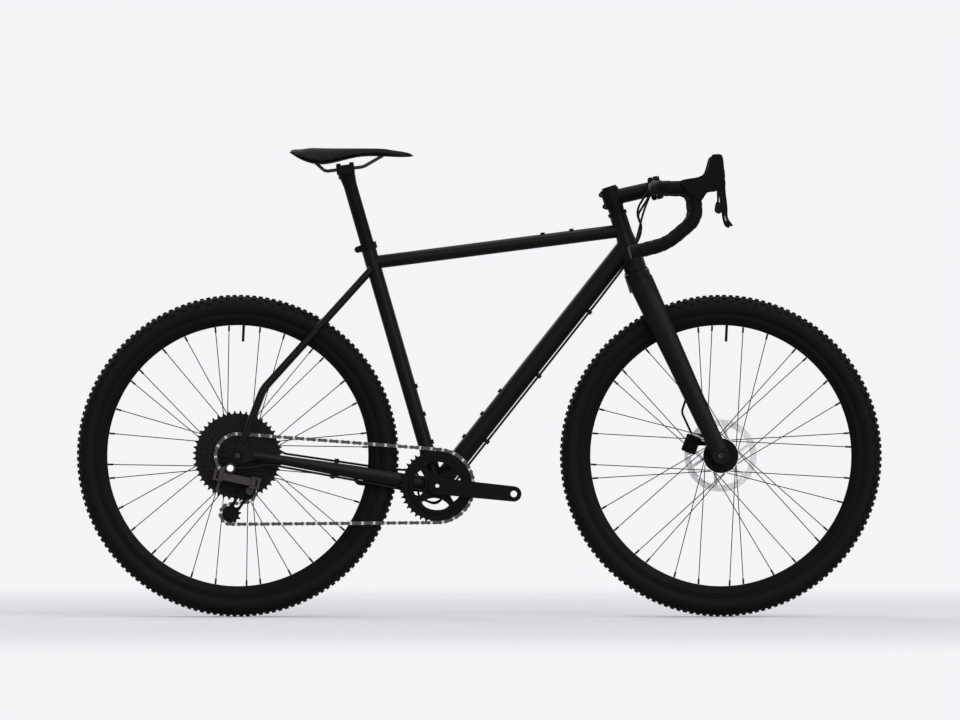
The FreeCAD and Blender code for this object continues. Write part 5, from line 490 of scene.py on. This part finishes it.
def colour_of(name):
    return tuple(getattr(look(), name))


# Operators, one for each group of pieces

class BIKE_OT_paint(bpy.types.Operator):
    """Paints the frame tubes and the fork matte black"""
    bl_idname = "bike.paint"
    bl_label = "Frame paint"

    def execute(self, context):
        paint = matte_paint("frame paint", colour_of("paint"))
        dress(
            paint, "head_tube", "top_tube", "down_tube", "seat_tube", "bottom_bracket_shell",
            "chainstays", "seatstays", "rear_dropouts", "frame_bosses",
        )
        dress(matte_paint("fork paint", lighter(colour_of("paint"), 0.95)), "fork")
        return {"FINISHED"}


class BIKE_OT_alloy(bpy.types.Operator):
    """Gives the alloy parts their black anodised skin"""
    bl_idname = "bike.alloy"
    bl_label = "Anodised parts"

    def execute(self, context):
        black = colour_of("anodised")
        dress(
            anodised("anodised cockpit", black, 0.38), "stem", "stem_faceplate", "handlebar",
            "headset_stack", "bearing_cups", "seatpost", "seat_clamp", "saddle_clamp",
        )
        dress(
            anodised("anodised wheels", black, 0.42), "front_rim", "rear_rim", "front_hub", "rear_hub",
        )
        dress(
            anodised("forged crank", black, 0.34, 2.4), "drive_crank_arm", "left_crank_arm", "chainring",
        )
        dress(
            anodised("brake castings", black, 0.4), "front_brake_caliper", "rear_brake_caliper",
            "brake_lever_left", "brake_lever_right", "derailleur_hanger",
        )
        warm = (0.04, 0.034, 0.0335)
        dress(
            anodised("derailleur castings", warm, 0.4, 1.8), "derailleur_upper_knuckle",
            "derailleur_outer_link", "derailleur_inner_link", "derailleur_lower_knuckle",
        )
        dress(anodised("derailleur cage plates", black, 0.42), "derailleur_cage")
        return {"FINISHED"}


class BIKE_OT_steel(bpy.types.Operator):
    """Finishes the steel parts: sprockets, spokes, axles, bolts and rotors"""
    bl_idname = "bike.steel"
    bl_label = "Steel parts"

    def execute(self, context):
        dress(plated_steel("sprocket plating", (0.0048, 0.0044, 0.0044), 0.46), "cassette")
        dress(anodised("black spokes", (0.003, 0.003, 0.003), 0.5), "front_spokes", "rear_spokes")
        dress(
            plated_steel("black axles", (0.014, 0.014, 0.014), 0.4), "front_thru_axle",
            "rear_thru_axle", "crank_spindle", "saddle_rails", "cockpit_bolts",
        )
        dress(plated_steel("bright bolt", (0.62, 0.62, 0.64), 0.26), "derailleur_mount_bolt")
        steel = (0.88, 0.88, 0.89)
        dress(ground_disc("front rotor steel", steel, FRONT_AXLE), "front_rotor")
        dress(ground_disc("rear rotor steel", steel, REAR_AXLE), "rear_rotor")
        return {"FINISHED"}


class BIKE_OT_chain(bpy.types.Operator):
    """Parts the chain at the derailleur, so that it follows the cage as the cage swings"""
    bl_idname = "bike.chain"
    bl_label = "Chain"

    def execute(self, context):
        finish = chain_plating("chain plating", colour_of("chain"), middle_of("chain").y)
        pulleys = middle_of("guide_pulley"), middle_of("tension_pulley")
        ring = middle_of("chainring")
        work = node_copy("chain")
        stretch = work.verts.layers.int.new("stretch")
        middles = {"chain_run": [], "chain_wrap": [], "chain_return": []}
        for link in self.links(work):
            middle = sum((vert.co for vert in link), Vector()) / len(link)
            name = self.stretch_of(middle, *pulleys, ring)
            middles[name].append(middle)
            for vert in link:
                vert[stretch] = list(middles).index(name)
        for number, (name, body) in enumerate(zip(middles, ("frame", "cage", "frame"))):
            part = work.copy()
            layer = part.verts.layers.int["stretch"]
            others = [vert for vert in part.verts if vert[layer] != number]
            bmesh.ops.delete(part, geom=others, context="VERTS")
            made = as_piece(name, part, finish)
            made.data.set_sharp_from_angle(angle=SHARP_EDGE)
            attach(made, body)
            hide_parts("chain")
        work.free()
        self.follow_cage(made, middles["chain_wrap"], middles["chain_return"])
        return {"FINISHED"}

    def links(self, work):
        """Each link of the chain, as a list of its points."""
        for first in work.verts:
            if first.tag:
                continue
            first.tag = True
            link = [first]
            for vert in link:
                for edge in vert.link_edges:
                    other = edge.other_vert(vert)
                    if not other.tag:
                        other.tag = True
                        link.append(other)
            yield link

    def stretch_of(self, middle, guide, tension, ring):
        """Wrapped round the pulleys, on the way back to the chainring, or on the rest of the run."""
        share = intersect_point_line(middle, guide, tension)[1]
        share = min(max(share, 0.0), 1.0)
        off = (middle - guide.lerp(tension, share)).length
        below = middle.z < tension.z - RETURN_DROP
        if off < WRAP_REACH and not (below and middle.x > tension.x - WRAP_END):
            return "chain_wrap"
        if below and middle.x < ring.x:
            return "chain_return"
        return "chain_run"

    def follow_cage(self, made, wrap, back):
        """Works out how far the cage's full swing moves the rear end of the return run, and gives the
        return run its own mesh.
        """
        joint = next(entry for entry in frame["joints"] if entry["name"] == "cage_swing")
        pivot = Vector(joint["pos_m"])
        turn = Matrix.Rotation(math.radians(joint["range_deg"][1]), 3, Vector(joint["axis"]))
        rear = min(back, key=lambda middle: middle.x)
        front = max(back, key=lambda middle: middle.x)
        last = min(wrap, key=lambda middle: (middle - rear).length)
        pitch = (rear - last).length
        move = pivot + turn @ (last - pivot) + Vector((pitch, 0.0, 0.0)) - rear
        reach = (front - rear).dot(move.normalized())
        1.0 - move.length / reach
        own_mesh(made)


class BIKE_OT_rubber(bpy.types.Operator):
    """Finishes the tyres, the lever hoods, the plastic parts and the fixed hoses"""
    bl_idname = "bike.rubber"
    bl_label = "Rubber and plastic"

    def execute(self, context):
        rubber = colour_of("rubber")
        dress(tyre_rubber("front tyre rubber", rubber, FRONT_AXLE), "front_tyre")
        dress(tyre_rubber("rear tyre rubber", rubber, REAR_AXLE), "rear_tyre")
        dress(ribbed_rubber("hood rubber", (0.0016, 0.0016, 0.0017)), "lever_hoods")
        dress(
            moulded_plastic("black mouldings", (0.0018, 0.0018, 0.0019)), "bar_end_plugs", "shift_paddle",
            "saddle_shell", "guide_pulley", "tension_pulley",
        )
        dress(
            moulded_plastic("hose jacket", (0.0028, 0.0028, 0.003), 0.4), "frame_hoses",
            "front_brake_hose",
        )
        return {"FINISHED"}


class BIKE_OT_tape(bpy.types.Operator):
    """Winds tape round both sides of the bar, each turn lapped over the last"""
    bl_idname = "bike.tape"
    bl_label = "Bar tape"

    def execute(self, context):
        sizes = context.scene.tape_sizes
        finish = wrapped_tape("bar tape foam", (0.0018, 0.0018, 0.0019))
        for side, word in ((-1.0, "right"), (1.0, "left")):
            made = as_piece("bar_tape_" + word, self.wind(side, sizes), finish)
            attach(made, "steering")
            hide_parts("bar_tape")
        return {"FINISHED"}

    def wind(self, side, sizes):
        """One side's strip, as a tube along the bar whose rings step up at each lap."""
        points = [BAR_CLAMP + Vector((ahead, side * out, -drop)) for ahead, out, drop in TAPE_CORNERS]
        work = bmesh.new()
        lap_layer = work.verts.layers.float.new("lap")
        turn_layer = work.verts.layers.float.new("turn")
        heading = (points[1] - points[0]).normalized()
        turned = Matrix.Translation(points[0]) @ heading.to_track_quat("Z", "X").to_matrix().to_4x4()
        ring = bmesh.ops.create_circle(
            work, segments=TAPE_SEGMENTS, radius=sizes.radius, matrix=turned,
        )["verts"]
        count = len(ring)
        for place, vert in enumerate(ring):
            vert[turn_layer] = place / count
        edges = work.edges[:]
        rings = [(list(ring), points[0].copy(), 0.0)]
        step = sizes.pitch / RINGS_PER_WRAP
        here = points[0].copy()
        along = 0.0
        for corner in range(1, len(points)):
            heading = (points[corner] - here).normalized()
            last = corner == len(points) - 1
            reach = (points[corner] - here).length
            if not last:
                onward = (points[corner + 1] - points[corner]).normalized()
                angle = heading.angle(onward)
                bend = TAPE_BENDS[corner - 1]
                reach -= bend * math.tan(angle / 2)
            parts = max(1, round(reach / step))
            for part in range(parts):
                made = bmesh.ops.extrude_edge_only(work, edges=edges)["geom"]
                ring = [item for item in made if isinstance(item, bmesh.types.BMVert)]
                ring_set = set(ring)
                edges = [
                    item for item in made
                    if isinstance(item, bmesh.types.BMEdge) and ring_set.issuperset(item.verts)
                ]
                bmesh.ops.translate(work, verts=ring, vec=heading * (reach / parts))
                here = here + heading * (reach / parts)
                along += reach / parts
                rings.append((ring, here.copy(), along))
            if last:
                break
            axis = heading.cross(onward).normalized()
            centre = here + axis.cross(heading) * bend
            parts = max(2, round(angle * bend / step))
            for part in range(parts):
                made = bmesh.ops.spin(
                    work, geom=edges, cent=centre, axis=axis, dvec=(0, 0, 0),
                    angle=angle / parts, steps=1, use_duplicate=False,
                )["geom_last"]
                ring = [item for item in made if isinstance(item, bmesh.types.BMVert)]
                edges = [item for item in made if isinstance(item, bmesh.types.BMEdge)]
                here = centre + Matrix.Rotation(angle / parts, 3, axis) @ (here - centre)
                along += angle * bend / parts
                rings.append((ring, here.copy(), along))
        for ring, centre, along in rings:
            for vert in ring:
                lap = (along / sizes.pitch + side * vert[turn_layer]) % 1.0
                if along < sizes.band:
                    lap = BAND_LAP
                vert[lap_layer] = lap
                vert.co = centre + (vert.co - centre).normalized() * (
                    sizes.radius - sizes.lap * (1.0 - lap)
                )
        for ring, centre, along in (rings[0], rings[-1]):
            ring_set = set(ring)
            rim = [edge for edge in work.edges if edge.is_boundary and ring_set.issuperset(edge.verts)]
            made = bmesh.ops.extrude_edge_only(work, edges=rim)["geom"]
            for vert in made:
                if isinstance(vert, bmesh.types.BMVert):
                    out = (vert.co - centre).normalized()
                    vert.co = centre + out * (sizes.bar_radius + BAR_CLEARANCE)
        bmesh.ops.recalc_face_normals(work, faces=work.faces)
        return work


class BIKE_OT_saddle(bpy.types.Operator):
    """Inflates the saddle's pad and covers it"""
    bl_idname = "bike.saddle"
    bl_label = "Saddle cover"

    def execute(self, context):
        sizes = context.scene.saddle_sizes
        finish = saddle_skin("saddle skin", (0.0014, 0.0014, 0.0015))
        made = as_piece("saddle_pad", node_copy("saddle_cover"), finish)
        remesh = made.modifiers.new("even mesh", "REMESH")
        remesh.mode = "VOXEL"
        remesh.voxel_size = sizes.voxel
        relax = made.modifiers.new("relax", "SMOOTH")
        relax.factor = 0.5
        relax.iterations = RELAX_STEPS
        self.apply(made)
        self.inflate(made, sizes)
        made.data.shade_smooth()
        finer = made.modifiers.new("finer", "SUBSURF")
        finer.levels = 1
        finer.render_levels = 1
        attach(made, "seat")
        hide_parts("saddle_cover")
        return {"FINISHED"}

    def apply(self, made):
        """Makes the modifiers' result the piece's own mesh."""
        ready = made.evaluated_get(bpy.context.evaluated_depsgraph_get())
        mesh = bpy.data.meshes.new_from_object(ready)
        made.modifiers.clear()
        old = made.data
        made.data = mesh
        bpy.data.meshes.remove(old)

    def inflate(self, made, sizes):
        """Cloth under pressure for a few frames, with each point held near its start."""
        start = [vert.co.copy() for vert in made.data.vertices]
        cloth = made.modifiers.new("foam", "CLOTH")
        cloth.settings.use_pressure = True
        cloth.settings.uniform_pressure_force = FOAM_PRESSURE
        cloth.settings.effector_weights.gravity = 0.0
        scene = bpy.context.scene
        for number in range(1, FOAM_FRAMES + 1):
            scene.frame_set(number)
        self.apply(made)
        scene.frame_set(1)
        for vert, origin in zip(made.data.vertices, start):
            move = vert.co - origin
            if move.length > sizes.swell:
                vert.co = origin + move.normalized() * sizes.swell


class BIKE_OT_sockets(bpy.types.Operator):
    """Closes the bores of both thru-axles with the floor of a hex key socket"""
    bl_idname = "bike.sockets"
    bl_label = "Axle sockets"

    def execute(self, context):
        finish = plated_steel("socket floor", (0.01, 0.01, 0.01), 0.5)
        for name, node, body in (
            ("front_axle_socket", "front_thru_axle", "steering"),
            ("rear_axle_socket", "rear_thru_axle", "frame"),
        ):
            outer_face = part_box(node)[0].y
            middle = middle_of(node)
            place = Vector((middle.x, outer_face + SOCKET_DEPTH, middle.z))
            made = as_piece(name, self.plug(place), finish, False)
            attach(made, body)
        return {"FINISHED"}

    def plug(self, place):
        work = bmesh.new()
        turned = Matrix.Translation(place) @ Matrix.Rotation(math.radians(90.0), 4, "X")
        bmesh.ops.create_cone(
            work, cap_ends=True, segments=6, radius1=SOCKET_RADIUS, radius2=SOCKET_RADIUS,
            depth=SOCKET_LENGTH, matrix=turned,
        )
        bmesh.ops.bevel(
            work, geom=work.edges[:], offset=SOCKET_BEVEL, affect="EDGES", segments=2, profile=0.5,
            material=-1,
        )
        return work


class BIKE_OT_hoses(bpy.types.Operator):
    """Makes the hose loops between the frame and the bar a piece of their own, in the hose jacket finish
    """
    bl_idname = "bike.hoses"
    bl_label = "Hose loops"

    def execute(self, context):
        finish = moulded_plastic("hose loop jacket", (0.0028, 0.0028, 0.003), 0.4)
        made = as_piece("hose_loops", node_copy("steering_loops"), finish)
        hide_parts("steering_loops")
        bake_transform(made)
        return {"FINISHED"}


class BIKE_OT_stage(bpy.types.Operator):
    """Lays the pale floor, hangs the lamps and sets the camera square to the drive side"""
    bl_idname = "bike.stage"
    bl_label = "Stage"

    def execute(self, context):
        scene = context.scene
        scene.view_settings.view_transform = "Standard"
        self.floor()
        self.world(scene)
        self.distant_lamp("front lamp", (0.36, -0.8, 0.48), 1.9)
        self.distant_lamp("back lamp", (-0.5, 0.75, 0.43), 1.3)
        self.lamp("top lamp", (0.0, 0.1, 4.6), 1.2, 60.0)
        self.camera(scene)
        return {"FINISHED"}

    def floor(self):
        """A round sheet of pale paper that fades into the background round the bike."""
        work = bmesh.new()
        bmesh.ops.create_circle(work, cap_ends=True, segments=96, radius=FLOOR_EDGE)
        made = Finish("floor paper")
        spot = made.place()
        far = made.node("ShaderNodeVectorMath", {"operation": "LENGTH"}, {0: spot}).outputs[1]
        fibre = made.noise(spot, 3.0, 4.0)
        pale = colour_of("backdrop")
        made.set(Base_Color=made.mix(fibre * 0.1, pale, lighter(pale, 0.96)), Roughness=0.9)
        made.set(Alpha=made.falling(far, FLOOR_FADE, FLOOR_EDGE), Specular_IOR_Level=0.1)
        as_piece("floor sheet", work, made.material)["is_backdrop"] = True

    def world(self, scene):
        """Pale to the lens and in reflections, and a low even light for the rest."""
        scene.world = bpy.data.worlds.new("studio")
        scene.world.use_nodes = True
        tree = scene.world.node_tree
        fill = tree.nodes["Background"]
        fill.inputs["Color"].default_value = FILL_COLOUR
        fill.inputs["Strength"].default_value = FILL_LIGHT
        pale = tree.nodes.new("ShaderNodeBackground")
        pale.inputs["Color"].default_value = (*colour_of("background"), 1.0)
        rays = tree.nodes.new("ShaderNodeLightPath").outputs
        seen = rays["Is Camera Ray"]
        for kind in ("Is Glossy Ray", "Is Transmission Ray"):
            either = tree.nodes.new("ShaderNodeMath")
            either.operation = "MAXIMUM"
            tree.links.new(seen, either.inputs[0])
            tree.links.new(rays[kind], either.inputs[1])
            seen = either.outputs[0]
        choice = tree.nodes.new("ShaderNodeMixShader")
        tree.links.new(seen, choice.inputs[0])
        tree.links.new(fill.outputs[0], choice.inputs[1])
        tree.links.new(pale.outputs[0], choice.inputs[2])
        tree.links.new(choice.outputs[0], tree.nodes["World Output"].inputs[0])

    def lamp(self, name, place, width, power):
        data = bpy.data.lights.new(name, "AREA")
        data.shape = "DISK"
        data.size = width
        data.energy = power
        made = bpy.data.objects.new(name, data)
        made.location = place
        made.rotation_euler = (LAMP_AIM - Vector(place)).to_track_quat("-Z", "Y").to_euler()
        bpy.context.scene.collection.objects.link(made)

    def distant_lamp(self, name, way, power):
        data = bpy.data.lights.new(name, "SUN")
        data.angle = math.radians(LAMP_SPREAD)
        data.energy = power
        made = bpy.data.objects.new(name, data)
        made.location = Vector(way) * 6.0
        made.rotation_euler = (-Vector(way)).to_track_quat("-Z", "Y").to_euler()
        bpy.context.scene.collection.objects.link(made)

    def camera(self, scene):
        data = bpy.data.cameras.new("side camera")
        data.sensor_width = 36.0
        data.lens = data.sensor_width * CAMERA_FAR / CAMERA_SEEN
        data.clip_end = 200.0
        made = bpy.data.objects.new("side camera", data)
        made.location = (CAMERA_ASIDE, -CAMERA_FAR, CAMERA_HEIGHT)
        made.rotation_euler = (math.radians(90.0), 0.0, 0.0)
        scene.collection.objects.link(made)
        scene.camera = made


class BIKE_PT_panel(bpy.types.Panel):
    """Buttons that dress the bike piece by piece"""
    bl_idname = "BIKE_PT_panel"
    bl_label = "Gravel bike"
    bl_space_type = "VIEW_3D"
    bl_region_type = "UI"
    bl_category = "Gravel Bike"

    def draw(self, context):
        for operator in OPERATORS:
            self.layout.operator(operator.bl_idname)


OPERATORS = (
    BIKE_OT_stage, BIKE_OT_hoses, BIKE_OT_paint, BIKE_OT_alloy, BIKE_OT_steel, BIKE_OT_chain,
    BIKE_OT_sockets, BIKE_OT_rubber, BIKE_OT_tape, BIKE_OT_saddle,
)
CLASSES = (TapeSizes, SaddleSizes, BikeColours, *OPERATORS, BIKE_PT_panel)


def register():
    for kind in CLASSES:
        bpy.utils.register_class(kind)
    bpy.types.Scene.tape_sizes = PointerProperty(type=TapeSizes)
    bpy.types.Scene.saddle_sizes = PointerProperty(type=SaddleSizes)
    bpy.types.Scene.bike_colours = PointerProperty(type=BikeColours)


def unregister():
    del bpy.types.Scene.bike_colours
    del bpy.types.Scene.saddle_sizes
    del bpy.types.Scene.tape_sizes
    for kind in reversed(CLASSES):
        bpy.utils.unregister_class(kind)


def main():
    register()
    bpy.ops.bike.stage()
    bpy.ops.bike.hoses()
    bpy.ops.bike.paint()
    bpy.ops.bike.alloy()
    bpy.ops.bike.steel()
    bpy.ops.bike.chain()
    bpy.ops.bike.sockets()
    bpy.ops.bike.rubber()
    bpy.ops.bike.tape()
    bpy.ops.bike.saddle()
    boxes = {"cad": CAD_BOX, "visual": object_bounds()}
    {name: [list(corner) for corner in box] for name, box in boxes.items()}


if __name__ == "__main__":
    main()
